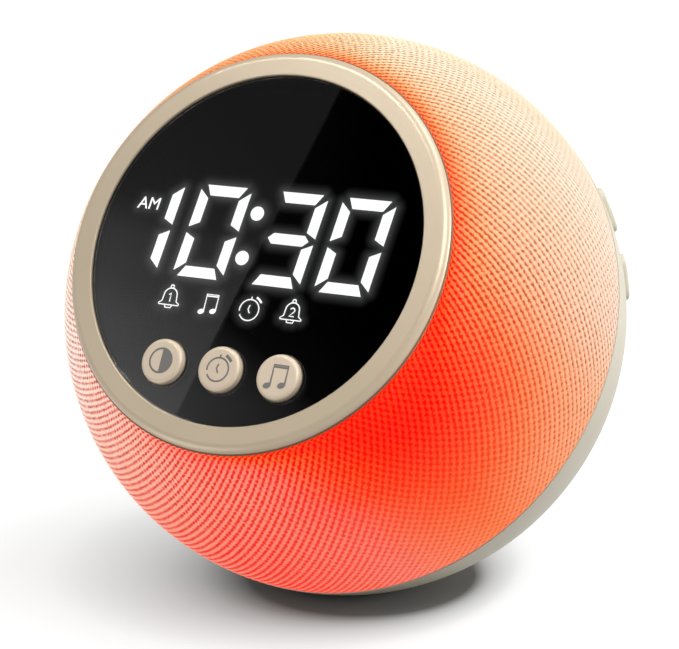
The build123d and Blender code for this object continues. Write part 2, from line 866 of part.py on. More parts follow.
# Speaker: gasket, frame, magnet, surround, cone and voice coil on one axis
speaker_axis = Axis(ball_centre, speaker.z_dir)
speaker_section = Plane(origin=ball_centre, x_dir=(-1, 0, 0), z_dir=Vector(-1, 0, 0).cross(speaker.z_dir))
frame_front = speaker_seat - gasket_thickness
frame_back = frame_front - frame_flange
step_level = frame_front - frame_step
step_bore = frame_bore - frame_step_width
basket_back = frame_back - basket_depth
basket_top = frame_bore + basket_wall
magnet_back = basket_back - magnet_depth

with BuildPart() as speaker_gasket:
    with BuildSketch(speaker.offset(frame_front)):
        RectangleRounded(speaker_side, speaker_side, speaker_corner_round)
        Circle(speaker_seat_inner, mode=Mode.SUBTRACT)
        with Locations(*speaker_corners):
            Circle(speaker_hole_radius, mode=Mode.SUBTRACT)
    extrude(amount=gasket_thickness)
finish(speaker_gasket, "speaker_gasket")

with BuildPart() as speaker_frame:
    with BuildSketch(speaker.offset(frame_back)):
        RectangleRounded(speaker_side, speaker_side, speaker_corner_round)
        with Locations(*speaker_corners):
            Circle(speaker_hole_radius, mode=Mode.SUBTRACT)
    extrude(amount=frame_flange)
    with BuildSketch(speaker_section):
        with BuildLine():
            Polyline(
                (coil_gap_outer, basket_back),
                (magnet_radius, basket_back),
                (basket_top, frame_back),
                (coil_gap_outer, frame_back),
                close=True,
            )
        make_face()
    revolve(axis=speaker_axis)
    with BuildSketch(speaker_section):
        with BuildLine():
            Polyline(
                (0, basket_back),
                (coil_gap_outer, basket_back),
                (coil_gap_outer, basket_back + basket_wall),
                (magnet_radius - basket_wall / 2, basket_back + basket_wall),
                (step_bore, frame_back),
                (step_bore, step_level),
                (frame_bore, step_level),
                (frame_bore, frame_front),
                (0, frame_front),
                close=True,
            )
        make_face()
    revolve(axis=speaker_axis, mode=Mode.SUBTRACT)
finish(speaker_frame, "speaker_frame")

with BuildPart() as speaker_magnet:
    with BuildSketch(speaker.offset(magnet_back)):
        Circle(magnet_radius)
    extrude(amount=magnet_depth)
    with BuildSketch(speaker.offset(basket_back)):
        Circle(coil_gap_outer)
        Circle(coil_gap_inner, mode=Mode.SUBTRACT)
    extrude(amount=-coil_gap_depth, mode=Mode.SUBTRACT)
finish(speaker_magnet, "speaker_magnet")

coil_bottom = basket_back - coil_sunk
coil_top = basket_back + coil_stand
with BuildPart() as voice_coil:
    with BuildSketch(speaker.offset(coil_bottom)):
        Circle(coil_outer)
        Circle(coil_inner, mode=Mode.SUBTRACT)
    extrude(amount=coil_top - coil_bottom)
finish(voice_coil, "voice_coil")

roll_middle = frame_bore - touch_gap - surround_roll
cone_rim = roll_middle - surround_roll - cone_rim_gap
cone_level = step_level
dome_top = coil_top + cone_dome_rise


def dome_radius(half_width):
    """The radius of a dust cap dome of this half width."""
    return (half_width**2 + cone_dome_rise**2) / (2 * cone_dome_rise)


with BuildPart() as speaker_cone:
    with BuildSketch(speaker_section):
        with BuildLine():
            RadiusArc((0, dome_top), (coil_inner, coil_top), dome_radius(coil_inner))
            Polyline(
                (coil_inner, coil_top),
                (coil_outer, coil_top),
                (cone_rim, cone_level - cone_thickness),
                (cone_rim, cone_level),
                (coil_outer, coil_top + cone_thickness),
            )
            RadiusArc(
                (0, dome_top + cone_thickness),
                (coil_outer, coil_top + cone_thickness),
                dome_radius(coil_outer),
            )
            Line((0, dome_top), (0, dome_top + cone_thickness))
        make_face()
    revolve(axis=speaker_axis)
finish(speaker_cone, "speaker_cone")

roll_inner = surround_roll - surround_wall
with BuildPart() as speaker_surround:
    with BuildSketch(speaker_section):
        with BuildLine():
            CenterArc((roll_middle, step_level), surround_roll, 0, 180)
            CenterArc((roll_middle, step_level), roll_inner, 0, 180)
            Line((roll_middle + roll_inner, step_level), (roll_middle + surround_roll, step_level))
            Line((roll_middle - surround_roll, step_level), (roll_middle - roll_inner, step_level))
        make_face()
    revolve(axis=speaker_axis)
finish(speaker_surround, "speaker_surround")

speaker_screw_seats = [spot(speaker, x, y, frame_back) for x, y in speaker_corners]
screw_set("speaker_screws", speaker_screw_seats, speaker_screw_radius, speaker_screw_length,
          front_head_radius, front_head_height)

# Side buttons: two pills on each side, each with a flange, a stem and its switch on a small board
side_names = {1: ("volume_up", "volume_down"), -1: ("alarm_one", "alarm_two")}
side_words = {1: "right", -1: "left"}
side_screw_seats = []
for side, plane in sides.items():
    seats = []
    for end, name in zip((1, -1), side_names[side]):
        x = end * side_pitch / 2
        with BuildPart() as side_button:
            with BuildSketch(spot(plane, x, 0, side_flange_front)):
                SlotOverall(side_button_length, side_button_width)
            extrude(amount=side_pad_depth + cut_overrun)
            with Locations(ball_centre):
                Sphere(ball_radius + side_button_proud, mode=Mode.INTERSECT)
            top_face = side_button.faces().sort_by(Axis(ball_centre, plane.z_dir))[-1]
            fillet(top_face.edges(), side_button_round)
            with BuildSketch(spot(plane, x, 0, side_flange_back)):
                SlotOverall(
                    side_button_length + 2 * side_flange_width, side_button_width + 2 * side_flange_width
                )
            extrude(amount=side_flange_thickness)
            with BuildSketch(spot(plane, x, 0, side_flange_back)):
                Circle(side_stem_radius)
            extrude(amount=-side_stem_length)
        finish(side_button, f"{name}_button")
        seat = spot(plane, x, 0, side_board_front)
        plunger(f"{name}_plunger", seat)
        seats.append(seat)
    switch_set(f"side_switches_{side_words[side]}", seats)
    with BuildPart() as side_board:
        with BuildSketch(plane.offset(side_board_back)):
            Rectangle(side_board_length, side_board_width)
            with Locations(*side_posts):
                Circle(side_hole_radius, mode=Mode.SUBTRACT)
        extrude(amount=side_board_thickness)
    finish(side_board, f"side_board_{side_words[side]}")
    side_screw_seats += [spot(plane, x, y, side_board_back) for x, y in side_posts]
screw_set("side_board_screws", side_screw_seats, side_screw_radius, side_screw_length,
          side_head_radius, side_head_height)

# Power inlet: a metal shell round a tongue, on a small board that is screwed to a shelf
with BuildPart() as inlet_shell:
    with BuildSketch(inlet.offset(inlet_back)):
        SlotOverall(inlet_width, inlet_height)
        SlotOverall(inlet_width - 2 * inlet_wall, inlet_height - 2 * inlet_wall, mode=Mode.SUBTRACT)
    extrude(amount=inlet_length)
finish(inlet_shell, "inlet_shell")

root_width = inlet_width - 2 * inlet_wall - 2 * touch_gap
root_height = inlet_height - 2 * inlet_wall - 2 * touch_gap
with BuildPart() as inlet_tongue:
    with BuildSketch(inlet.offset(inlet_back)):
        SlotOverall(root_width, root_height)
    extrude(amount=tongue_root)
    with BuildSketch(inlet.offset(inlet_back)):
        Rectangle(tongue_width, tongue_thickness)
    extrude(amount=inlet_length - tongue_setback)
finish(inlet_tongue, "inlet_tongue")

inlet_seats = [
    Plane(inlet.location * Location((x, inlet_board_top, inlet_screw_level), (90, 0, 0)))
    for x in (-inlet_screw_offset, inlet_screw_offset)
]
with BuildPart() as inlet_board:
    with BuildSketch(inlet.offset(inlet_board_back)):
        with Locations((0, inlet_board_top)):
            Rectangle(inlet_board_width, inlet_board_thickness, align=(Align.CENTER, Align.MAX))
    extrude(amount=inlet_board_length)
    for seat in inlet_seats:
        with BuildSketch(seat):
            Circle(inlet_hole_radius)
        extrude(amount=inlet_board_thickness, mode=Mode.SUBTRACT)
finish(inlet_board, "inlet_board")
screw_set("inlet_screws", inlet_seats, inlet_screw_radius, inlet_screw_length,
          inlet_head_radius, inlet_head_height)

# Coin cell in its pocket, under a door that follows the ball
with BuildPart() as coin_cell:
    with BuildSketch(cell.offset(cell_back)):
        Circle(cell_radius)
    extrude(amount=cell_thickness)
    fillet(coin_cell.edges().filter_by(GeomType.CIRCLE), cell_edge_round)
finish(coin_cell, "coin_cell")

with BuildPart() as cell_contacts:
    with BuildSketch(cell.offset(cell_seat)):
        Rectangle(contact_length, contact_width)
    extrude(amount=contact_thickness)
    with BuildSketch(cell.offset(cell_seat)):
        with Locations((0, cell_radius + touch_gap)):
            Rectangle(contact_width, contact_thickness, align=(Align.CENTER, Align.MIN))
    extrude(amount=cell_thickness)
finish(cell_contacts, "cell_contacts")

door_seat = cell.offset(sqrt(ball_radius**2 - door_screw_offset**2) - door_head_height)
with BuildPart() as battery_door:
    with BuildSketch(cell.offset(cell_front)):
        RectangleRounded(door_length, door_height, door_corner_round)
    extrude(amount=cell_depth + cut_overrun)
    with Locations(ball_centre):
        Sphere(ball_radius, mode=Mode.INTERSECT)
        Sphere(door_inner, mode=Mode.SUBTRACT)
    with BuildSketch(cell.offset(cell_front + seat_gap)):
        Circle(door_rib_radius)
        Circle(door_rib_radius - door_rib_wall, mode=Mode.SUBTRACT)
    extrude(amount=cell_depth - door_thickness)
    with BuildSketch(door_seat):
        with Locations((door_screw_offset, 0)):
            Circle(door_head_radius + slide_gap)
    extrude(amount=cut_overrun, mode=Mode.SUBTRACT)
    with BuildSketch(cell.offset(cell_front)):
        with Locations((door_screw_offset, 0)):
            Circle(door_hole_radius)
    extrude(amount=cell_depth, mode=Mode.SUBTRACT)
finish(battery_door, "battery_door")
screw_set("battery_door_screw", [spot(door_seat, door_screw_offset, 0, flip=True)],
          door_screw_radius, door_screw_length, door_head_radius, door_head_height)


def lead(name, route):
    """A lead along straight runs joined by arcs, each as large as its two runs allow."""
    runs = [b - a for a, b in zip(route, route[1:])]
    radii = []
    for before, after in zip(runs, runs[1:]):
        half_turn = radians(before.get_angle(after) / 2)
        radii.append(lead_bend_share * min(before.length, after.length) / tan(half_turn))
    with BuildPart() as wire:
        with BuildLine() as path:
            FilletPolyline(*route, radius=radii)
        with BuildSketch(Plane(origin=path.line @ 0, z_dir=path.line % 0)):
            Circle(lead_radius)
        sweep(path=path.line)
    finish(wire, name)


def on_plane(plane, x, y, height):
    """A point given on a plane, in the clock's own frame."""
    return plane.from_local_coords(Vector(x, y, height))


# Leads: each leaves its own board or piece, bends inside the drum and comes up square to its connector
connector_back = board_back - connector_height
lead_turn = connector_back / 2


def to_connector(name):
    """The last two points of a lead, below its connector on the main board."""
    x, y = connector_spots[name]
    return [on_plane(face, x, y, lead_turn), on_plane(face, x, y, connector_back)]


landing = speaker_side / 2 - speaker_corner_round + touch_gap
lead("speaker_lead", [
    on_plane(speaker, landing, -landing, frame_back),
    on_plane(speaker, landing, -landing, basket_back),
    on_plane(face, -landing / 2, landing, plate_back),
] + to_connector("speaker"))
inlet_exit = inlet_board_top - inlet_board_thickness / 2
lead("inlet_lead", [
    on_plane(inlet, 0, inlet_exit, inlet_board_back),
    on_plane(inlet, 0, inlet_exit, inlet_board_back / 2),
] + to_connector("inlet"))
for side, plane in sides.items():
    lead(f"side_lead_{side_words[side]}", [
        on_plane(plane, 0, 0, side_board_back),
        on_plane(plane, 0, 0, side_board_back - connector_width),
        on_plane(face, side * (web_inner / 2 + connector_width / 2), connector_depth, plate_front),
    ] + to_connector(f"side_{side_words[side]}"))
lead("cell_lead", [
    on_plane(cell, connector_width, 0, cell_pocket),
    on_plane(cell, connector_width, 0, cell_pocket - cell_radius),
    on_plane(face, connector_spots["cell"][0], connector_spots["cell"][1] + lead_radius, plate_back),
] + to_connector("cell"))
ring_exit = -ring_inner - lead_hole_radius
lead("led_ring_lead", [
    on_plane(face, 0, ring_exit, ring_front),
    on_plane(face, 0, ring_exit, lead_hole_height),
    on_plane(face, 0, connector_spots["led_ring"][1], lead_hole_height),
    on_plane(face, 0, connector_spots["led_ring"][1], connector_back),
])
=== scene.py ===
# %% [markdown]
# # A sunrise alarm clock
# The clock is a ball that stands on a small rubber foot. A slanted round face carries the time and three
# keys, a glowing knitted cover wraps the front half, and a moulded shell closes the back. The solid parts
# come from the CAD model, so here we add what CAD leaves plain: cloth, printed marks, light and finish.

import json
import math

import bpy
import numpy as np
from mathutils import Matrix, Vector
from mathutils.bvhtree import BVHTree


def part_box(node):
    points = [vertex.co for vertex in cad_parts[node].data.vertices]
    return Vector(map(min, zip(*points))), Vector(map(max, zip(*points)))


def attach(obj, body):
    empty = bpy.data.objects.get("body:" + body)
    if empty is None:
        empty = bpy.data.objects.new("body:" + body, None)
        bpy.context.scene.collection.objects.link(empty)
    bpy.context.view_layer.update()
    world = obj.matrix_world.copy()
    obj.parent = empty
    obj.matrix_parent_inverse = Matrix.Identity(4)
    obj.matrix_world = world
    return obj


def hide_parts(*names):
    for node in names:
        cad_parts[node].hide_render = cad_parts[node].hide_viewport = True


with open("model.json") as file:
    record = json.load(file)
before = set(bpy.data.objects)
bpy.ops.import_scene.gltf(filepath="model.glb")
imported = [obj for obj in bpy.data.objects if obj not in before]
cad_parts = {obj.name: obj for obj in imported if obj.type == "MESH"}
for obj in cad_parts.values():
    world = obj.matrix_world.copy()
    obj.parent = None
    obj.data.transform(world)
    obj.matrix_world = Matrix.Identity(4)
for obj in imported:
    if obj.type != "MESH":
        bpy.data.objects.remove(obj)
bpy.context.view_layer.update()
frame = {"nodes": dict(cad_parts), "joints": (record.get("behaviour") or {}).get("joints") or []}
nodes = frame["nodes"]

# %% [markdown]
# ## The axes of the face
# Nearly everything that we add lies on the slanted face or is wound round it. The keys are pressed straight
# into the face, so their joint tells which way the face looks, and the other two axes follow from that.

# %% Set up the face's own axes
mm = 0.001
ball_height = 55.4 * mm
ball_centre = Vector((0, 0, ball_height))
timer_joint = next(joint for joint in frame["joints"] if joint["name"] == "timer_press")
face_out = -Vector(timer_joint["axis"]).normalized()
face_right = Vector((1, 0, 0))
face_up = face_out.cross(face_right)
ball_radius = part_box("fabric_cover")[1].x


def level_out(node, pick):
    """How far a CAD piece reaches along the face's axis, measured from the middle of the ball."""
    return pick((vertex.co - ball_centre).dot(face_out) for vertex in nodes[node].data.vertices)


def face_place(right, up, out):
    """The place on the face where a piece drawn flat on the ground is to be put."""
    middle = ball_centre + face_right * right + face_up * up + face_out * out
    turned = Matrix((face_right, face_up, face_out)).transposed()
    return Matrix.Translation(middle) @ turned.to_4x4()


bezel_back = level_out("diffuser_shell", max)
film_level = level_out("display_housing", max)
lens_front = level_out("display_lens", max)
lens_back = level_out("display_lens", min)
key_top = level_out("button_timer", max)
lens_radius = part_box("display_lens")[1].x
print(f"ball radius {ball_radius / mm:.1f} mm, lens radius {lens_radius / mm:.1f} mm")
print(f"film at {film_level / mm:.2f} mm, lens front at {lens_front / mm:.2f} mm")
print(f"key tops at {key_top / mm:.2f} mm")

# %% [markdown]
# ## Working one piece at a time
# A bench is kept clear: before each step only the piece in hand is picked up. A finished piece is fixed in
# place by writing its place into its own mesh, and then it is told which moving body it rides on.


# %% Small helpers for the bench
def pick_only(piece):
    bpy.ops.object.select_all(action="DESELECT")
    bpy.context.view_layer.objects.active = piece
    piece.select_set(True)


def set_in_place(piece, place):
    """Writes the place into the mesh, so that the object itself stays at the origin."""
    piece.data.transform(place @ piece.matrix_world)
    piece.matrix_world = Matrix.Identity(4)


def apply_modifier(piece, kind, **settings):
    pick_only(piece)
    modifier = piece.modifiers.new(kind.title(), kind)
    for key, value in settings.items():
        setattr(modifier, key, value)
    bpy.ops.object.modifier_apply(modifier=modifier.name)


def linear(shade):
    """Turns a shade as the eye reads it, from 0 to 1, into the amount of light."""
    shade = np.asarray(shade, float)
    return np.where(shade <= 0.04045, shade / 12.92, ((shade + 0.055) / 1.055) ** 2.4)


def paint(red, green, blue):
    """A colour as a screen shows it, from 0 to 255, in the amounts of light that Blender works with."""
    return (*linear(np.array((red, green, blue)) / 255), 1)


print("bench ready; mid grey is", [round(float(part), 3) for part in paint(128, 128, 128)[:3]])

# %% [markdown]
# ## The knitted cover
# The cover is a band of stretch knit, drawn tight over the milky diffuser and tucked in under the bezel in
# front and the shell behind. Its stitches run in two crossing spirals round the face. We start from a flat
# grid, as the cloth starts from a flat band, and wrap each point round the ball. Four points for each
# stitch are enough to raise one bead per stitch, so the weave is real relief and not only a picture of it.

# %% Choose the sizes of the band
stitches_round = 196
stitches_along = 24
points_per_stitch = 4
knit_depth = 0.15 * mm
knit_inset = 0.12 * mm
tie_height = 0.5
hem_rows = 4
hem_depth = 0.6 * mm
hem_round = 0.3 * mm
front_tuck = 0.02 * mm
columns = stitches_round * points_per_stitch
band_rows = stitches_along * points_per_stitch
grid_rows = band_rows + 2 * hem_rows
knit_level = ball_radius - knit_inset
front_edge = math.acos((bezel_back - front_tuck) / ball_radius)
back_edge = math.acos(level_out("fabric_cover", min) / ball_radius)
print(f"band: {stitches_round} stitches round the face and {stitches_along} from bezel to shell")

# %% Wrap the band round the ball
bpy.ops.object.select_all(action="DESELECT")
bpy.ops.mesh.primitive_grid_add(x_subdivisions=columns, y_subdivisions=grid_rows, size=1)
cover = bpy.context.object
cover.name = "knitted_cover"
flat_points = np.empty(len(cover.data.vertices) * 3)
cover.data.vertices.foreach_get("co", flat_points)
flat_points = flat_points.reshape(-1, 3) + 0.5

turn = 2 * math.pi * flat_points[:, 0]
row = flat_points[:, 1] * grid_rows - hem_rows
tucked = np.clip(np.maximum(-row, row - band_rows) / hem_rows, 0, 1)
edge_side = np.where(row < band_rows / 2, -1, 1)
hem_angle = hem_round / ball_radius
polar = front_edge + hem_angle + (back_edge - front_edge - 2 * hem_angle) * np.clip(row / band_rows, 0, 1)
polar = polar + edge_side * hem_angle * np.sin(tucked * math.pi / 2)

first_spiral = flat_points[:, 0] * stitches_round + row / points_per_stitch
second_spiral = flat_points[:, 0] * stitches_round - row / points_per_stitch
relief = np.cos(2 * math.pi * first_spiral) + tie_height * np.cos(2 * math.pi * second_spiral)
relief = relief / (1 + tie_height) * np.clip(np.minimum(row, band_rows - row) / hem_rows, 0, 1)
reach = knit_level + knit_depth * relief - hem_depth * (1 - np.cos(tucked * math.pi / 2))

sideways = np.outer(np.cos(turn), face_right) + np.outer(np.sin(turn), face_up)
outwards = np.sin(polar)[:, None] * sideways + np.outer(np.cos(polar), face_out)
wrapped = np.array(ball_centre) + outwards * reach[:, None]
cover.data.vertices.foreach_set("co", wrapped.ravel())
print(f"{len(wrapped)} points wrapped, at most {reach.max() / mm:.2f} mm from the middle of the ball")

# %% Close the band where its ends meet
join_distance = 0.005 * mm
pick_only(cover)
bpy.ops.object.mode_set(mode="EDIT")
bpy.ops.mesh.select_all(action="SELECT")
bpy.ops.mesh.remove_doubles(threshold=join_distance)
bpy.ops.mesh.flip_normals()
bpy.ops.object.mode_set(mode="OBJECT")
bpy.ops.object.shade_smooth()
print(f"cover: {len(cover.data.polygons)} faces")

# %% Count the threads on the cover's map
thread_map = cover.data.uv_layers[0]
thread_map.name = "threads"
flat_map = np.empty(len(thread_map.data) * 2)
thread_map.data.foreach_get("uv", flat_map)
map_round, map_along = flat_map.reshape(-1, 2).T
map_round = map_round * stitches_round
map_along = (map_along * grid_rows - hem_rows) / points_per_stitch
thread_map.data.foreach_set("uv", np.stack((map_round + map_along, map_round - map_along), 1).ravel())
print(f"map {thread_map.name}: {map_round.max():.0f} stitches round")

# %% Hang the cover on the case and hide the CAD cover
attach(cover, "case")
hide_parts("fabric_cover")

# %% [markdown]
# ## The colours of the sunrise
# Behind the cover a ring of lamps glows red low on the right, coral below, orange at the side and cream at
# the top, like a sky at dawn. Cloth spreads such light softly, so each point of the band takes a colour from
# where it lies: the higher it is the paler, with one deep red spot beside the bezel. All of it is painted
# glow, and the paler upper right and the near-white edge towards the shell are also painted studio light from
# the lamps on the right and behind. We lay out soft patches first, and then let each patch add or take some
# green, which leads from red by way of orange to cream.

# %% Find where each point lies on the ball
place = np.empty(len(cover.data.vertices) * 3)
cover.data.vertices.foreach_get("co", place)
place = place.reshape(-1, 3) - np.array(ball_centre)
place = place / np.linalg.norm(place, axis=1)[:, None]
part_right = place @ np.array(face_right)
part_up = place @ np.array(face_up)
part_out = place @ np.array(face_out)
from_bezel = np.cos(front_edge) - part_out
heading = part_right / np.hypot(part_right, part_up)
print(f"the cover reaches {part_up.max():.2f} of the radius up the face and {part_up.min():.2f} down")


# %% Lay out the patches of the dawn
def share(value):
    """Keeps a share between none of it and all of it."""
    return np.clip(value, 0, 1)


def stripe(middle, width):
    """A soft stripe that runs from the bezel to the shell at one heading round the face."""
    return share(1 - np.abs(heading - middle) / width)


hot_spot = Vector((0.6, -0.4, 0.69)).normalized()
hot_spread = 0.40
red_rim_width = 0.03
orange_rim_width = 0.08
face_parts = np.stack((part_right, part_up, part_out), 1)
off_spot = np.arccos(np.clip(face_parts @ np.array(hot_spot), -1, 1))
hot = np.exp(-((off_spot / hot_spread) ** 2))
low_left = np.minimum(np.maximum(-part_right, 0) * share(0.6 - 1.1 * part_up), 0.65)
red_rim = np.exp(-from_bezel / red_rim_width) * share((part_right + 0.35) / 0.5)
orange_rim = np.exp(-from_bezel / orange_rim_width) * share(0.6 + 1.5 * part_up)
orange_top = share(0.35 - 1.6 * part_right) * share(2 * part_up - 0.6)
coral_foot = share(-1.5 * part_up) * share((0.6 - part_out) / 0.4) * share((0.45 - heading) / 0.3)
ember = stripe(0.5, 0.3) * share(-part_up) * share((part_out - 0.4) / 0.2)
dusk = stripe(0.77, 0.2) * share(-1.5 * part_up) * share((0.5 - part_out) / 0.2)
# Painted studio light: the upper right side and the edge towards the shell are paler, as lamps on the right
# and behind light them.
painted_light_side = share((part_up + 0.25) / 0.3) * share(part_right)
painted_backlight_edge = (0.45 - part_out) * share(part_right)
print(f"the red spot covers about {np.mean(hot > 0.5):.0%} of the points")

# %% Mix the colours
middle_green = 181.0
least_green = 14
most_green = 240
green_steps = [
    (70, part_up),
    (104, low_left),
    (-138, hot),
    (-80, red_rim),
    (-40, orange_rim),
    (18, painted_light_side),
    (-16, dusk),
    (-75, orange_top),
    (-22, coral_foot),
    (-18, ember),
    (38, painted_backlight_edge),
]
green = np.full(len(place), middle_green)
for amount, patch in green_steps:
    green = green + amount * patch
green = np.clip(green, least_green, most_green)
pink = share((0.75 - heading) / 0.25) * share(0.5 - 1.2 * part_up) * share((green - 40) / 50)
rosy = share((heading - 0.6) / 0.2) * share((0.35 - part_up) / 0.3) * share((from_bezel - 0.05) / 0.12)
warm_blue = green * (0.12 + 0.0033 * green)
pink_blue = green * (0.68 + 0.0012 * green)
blue = warm_blue * (1 - pink) + pink_blue * pink - 14 * share(2 * part_up - 0.8) + 8 * rosy
red = 273 - 0.04 * green + 4 * pink
print(f"dawn colours: green from {green.min():.0f} to {green.max():.0f} of 255")

# %% [markdown]
# ## Light and dark in the weave
# This light and dark is painted: the top of the yarn catches more of the glow than the gap beside it, which
# lies in shade. Each point gets two painted shades, a lit one for the yarn's top and a shaded one for the
# gap, and the finish blends them stitch by stitch. The weave shows strongly on the left and beside the bezel,
# and fades where the glow is hottest.

# %% Set the contrast of the weave
full_swing = 95
left_contrast = 0.9
right_contrast = 0.35 + 0.7 * np.exp(-from_bezel / 0.25)
side = share((heading + 0.1) / 0.6)
calm = np.exp(-(((heading - 0.7) / 0.22) ** 2)) * share(-4 * part_up)
fine_side = share(2.5 * part_up) * share(2 * part_right)
contrast = (left_contrast * (1 - side) + right_contrast * side) * (1 - 0.42 * calm)
swing = full_swing * (contrast * (1 - 0.25 * fine_side))
deep = share((120 - green) / 80)
lift = swing * (0.5 + 0.25 * deep)
sink = swing * (0.7 - 0.3 * deep)
even = np.clip(0.5 + (green - 30) / 120, 0.5, 1)
# Painted light and shade: the yarn's top is a lit copy of the dawn colour and the gap a shaded copy.
top_in_light = np.stack((red + 8, green + lift, blue + lift * even), 1)
gap_in_shade = np.stack((red - 0.25 * sink, green - sink, blue - sink * even), 1)
# Painted shade in the pinholes: deeper where the cloth is paler and on the left.
hole_shade_depth = share((green - 90) / 110) * (1 - 0.35 * fine_side) + 0.3 * share(-2 * part_right)
tie_share = 0.13 + 0.1 * share(-1.5 * part_right) + 0.08 * calm
print(f"the weave swings by {swing.min():.0f} to {swing.max():.0f} of 255")

# %% Store the shades on the cover
cloth_level = 0.93


def store_shade(name, shade, fourth):
    """Keeps one colour for each point, and beside it a fourth number that the finish reads."""
    shades = np.ones((len(shade), 4))
    shades[:, :3] = linear(np.clip(shade * cloth_level, 2, 252) / 255)
    shades[:, 3] = fourth
    layer = cover.data.attributes.new(name, "FLOAT_COLOR", "POINT")
    layer.data.foreach_set("color", shades.ravel())


store_shade("lit_stitch_top", top_in_light, tie_share)
store_shade("shaded_stitch_gap", gap_in_shade, hole_shade_depth)
print(f"two shades stored on each of {len(place)} points")

# %% [markdown]
# ## Mixing a finish
# Most parts are moulded plastic. A mould leaves a fine grain and the colour is never quite even, so each
# plain finish mixes two near shades with a noise pattern and lets a finer one raise the grain.


# %% A recipe for plain finishes
def new_finish(name):
    finish = bpy.data.materials.new(name)
    finish.use_nodes = True
    return finish, finish.node_tree.nodes, finish.node_tree.links


cloud_scale = 60
grain_height = 0.1 * mm


def plain_finish(name, shade, drift=0.04, roughness=0.45, metallic=0.0, grain=900, depth=0.02, glow=0.0):
    """Drift is how far the shade wanders, grain how fine the speckle is, and depth how far it stands out."""
    finish, tools, wires = new_finish(name)
    surface = tools["Principled BSDF"]
    where = tools.new("ShaderNodeTexCoord")
    clouds = tools.new("ShaderNodeTexNoise")
    clouds.inputs["Scale"].default_value = cloud_scale
    tones = tools.new("ShaderNodeValToRGB")
    low = [part * (1 - drift) for part in shade[:3]]
    high = [min(1, part * (1 + drift)) for part in shade[:3]]
    tones.color_ramp.elements[0].color = (*low, 1)
    tones.color_ramp.elements[0].position = 0.35
    tones.color_ramp.elements[1].color = (*high, 1)
    tones.color_ramp.elements[1].position = 0.65
    speckle = tools.new("ShaderNodeTexNoise")
    speckle.inputs["Scale"].default_value = grain
    relief = tools.new("ShaderNodeBump")
    relief.inputs["Strength"].default_value = depth
    relief.inputs["Distance"].default_value = grain_height
    wires.new(where.outputs["Object"], clouds.inputs["Vector"])
    wires.new(where.outputs["Object"], speckle.inputs["Vector"])
    wires.new(clouds.outputs["Fac"], tones.inputs["Fac"])
    wires.new(tones.outputs["Color"], surface.inputs["Base Color"])
    wires.new(speckle.outputs["Fac"], relief.inputs["Height"])
    wires.new(relief.outputs["Normal"], surface.inputs["Normal"])
    surface.inputs["Roughness"].default_value = roughness
    surface.inputs["Metallic"].default_value = metallic
    if glow:
        wires.new(tones.outputs["Color"], surface.inputs["Emission Color"])
        surface.inputs["Emission Strength"].default_value = glow
    return finish


print(f"plain finishes drift in clouds of about {1 / cloud_scale / mm:.0f} mm")

# %% [markdown]
# ## The cloth's finish
# Along each thread of the first spiral runs a rib, painted bright, and the second spiral ties it down into
# beads. Between the ribs small gaps are left where neither thread passes, and their shade is painted dark.
# The thread map counts the threads of both spirals, so two waves on it give the height of the yarn at every
# spot, finer than the mesh has.


# %% A tool for arithmetic in a finish
def reckon(tools, wires, operation, first, second=0.0):
    """One step of arithmetic in a finish; a value is either a number or another tool's outlet."""
    step = tools.new("ShaderNodeMath")
    step.operation = operation
    for inlet, value in zip(step.inputs, (first, second)):
        if isinstance(value, float):
            inlet.default_value = value
        else:
            wires.new(value, inlet)
    return step.outputs["Value"]


# %% Find the height of the yarn
full_turn = 2 * math.pi
finish, tools, wires = new_finish("dawn_knit")
surface = tools["Principled BSDF"]
top_colour = tools.new("ShaderNodeAttribute")
top_colour.attribute_name = "lit_stitch_top"
gap_colour = tools.new("ShaderNodeAttribute")
gap_colour.attribute_name = "shaded_stitch_gap"
threads = tools.new("ShaderNodeUVMap")
threads.uv_map = "threads"
spirals = tools.new("ShaderNodeSeparateXYZ")
wires.new(threads.outputs["UV"], spirals.inputs["Vector"])
rib = reckon(tools, wires, "COSINE", reckon(tools, wires, "MULTIPLY", spirals.outputs["X"], full_turn))
tie = reckon(tools, wires, "COSINE", reckon(tools, wires, "MULTIPLY", spirals.outputs["Y"], full_turn))
tie_part = top_colour.outputs["Alpha"]
rib_part = reckon(tools, wires, "SUBTRACT", 0.5, tie_part)
height = reckon(tools, wires, "ADD", reckon(tools, wires, "MULTIPLY", rib, rib_part), 0.5)
height = reckon(tools, wires, "ADD", height, reckon(tools, wires, "MULTIPLY", tie, tie_part))
print("height of the yarn read from the map", threads.uv_map)

# %% Let stray fibres blur the edges of the yarn
fuzz_scale = 2400
fuzz_share = 1.5
where = tools.new("ShaderNodeTexCoord")
fuzz = tools.new("ShaderNodeTexNoise")
fuzz.inputs["Scale"].default_value = fuzz_scale
wires.new(where.outputs["Object"], fuzz.inputs["Vector"])
off_middle = reckon(tools, wires, "SUBTRACT", fuzz.outputs["Fac"], 0.5)
stray = reckon(tools, wires, "MULTIPLY", off_middle, fuzz_share)
uneven = reckon(tools, wires, "ADD", height, stray)
print(f"fibres about {1 / fuzz_scale / mm:.1f} mm long")

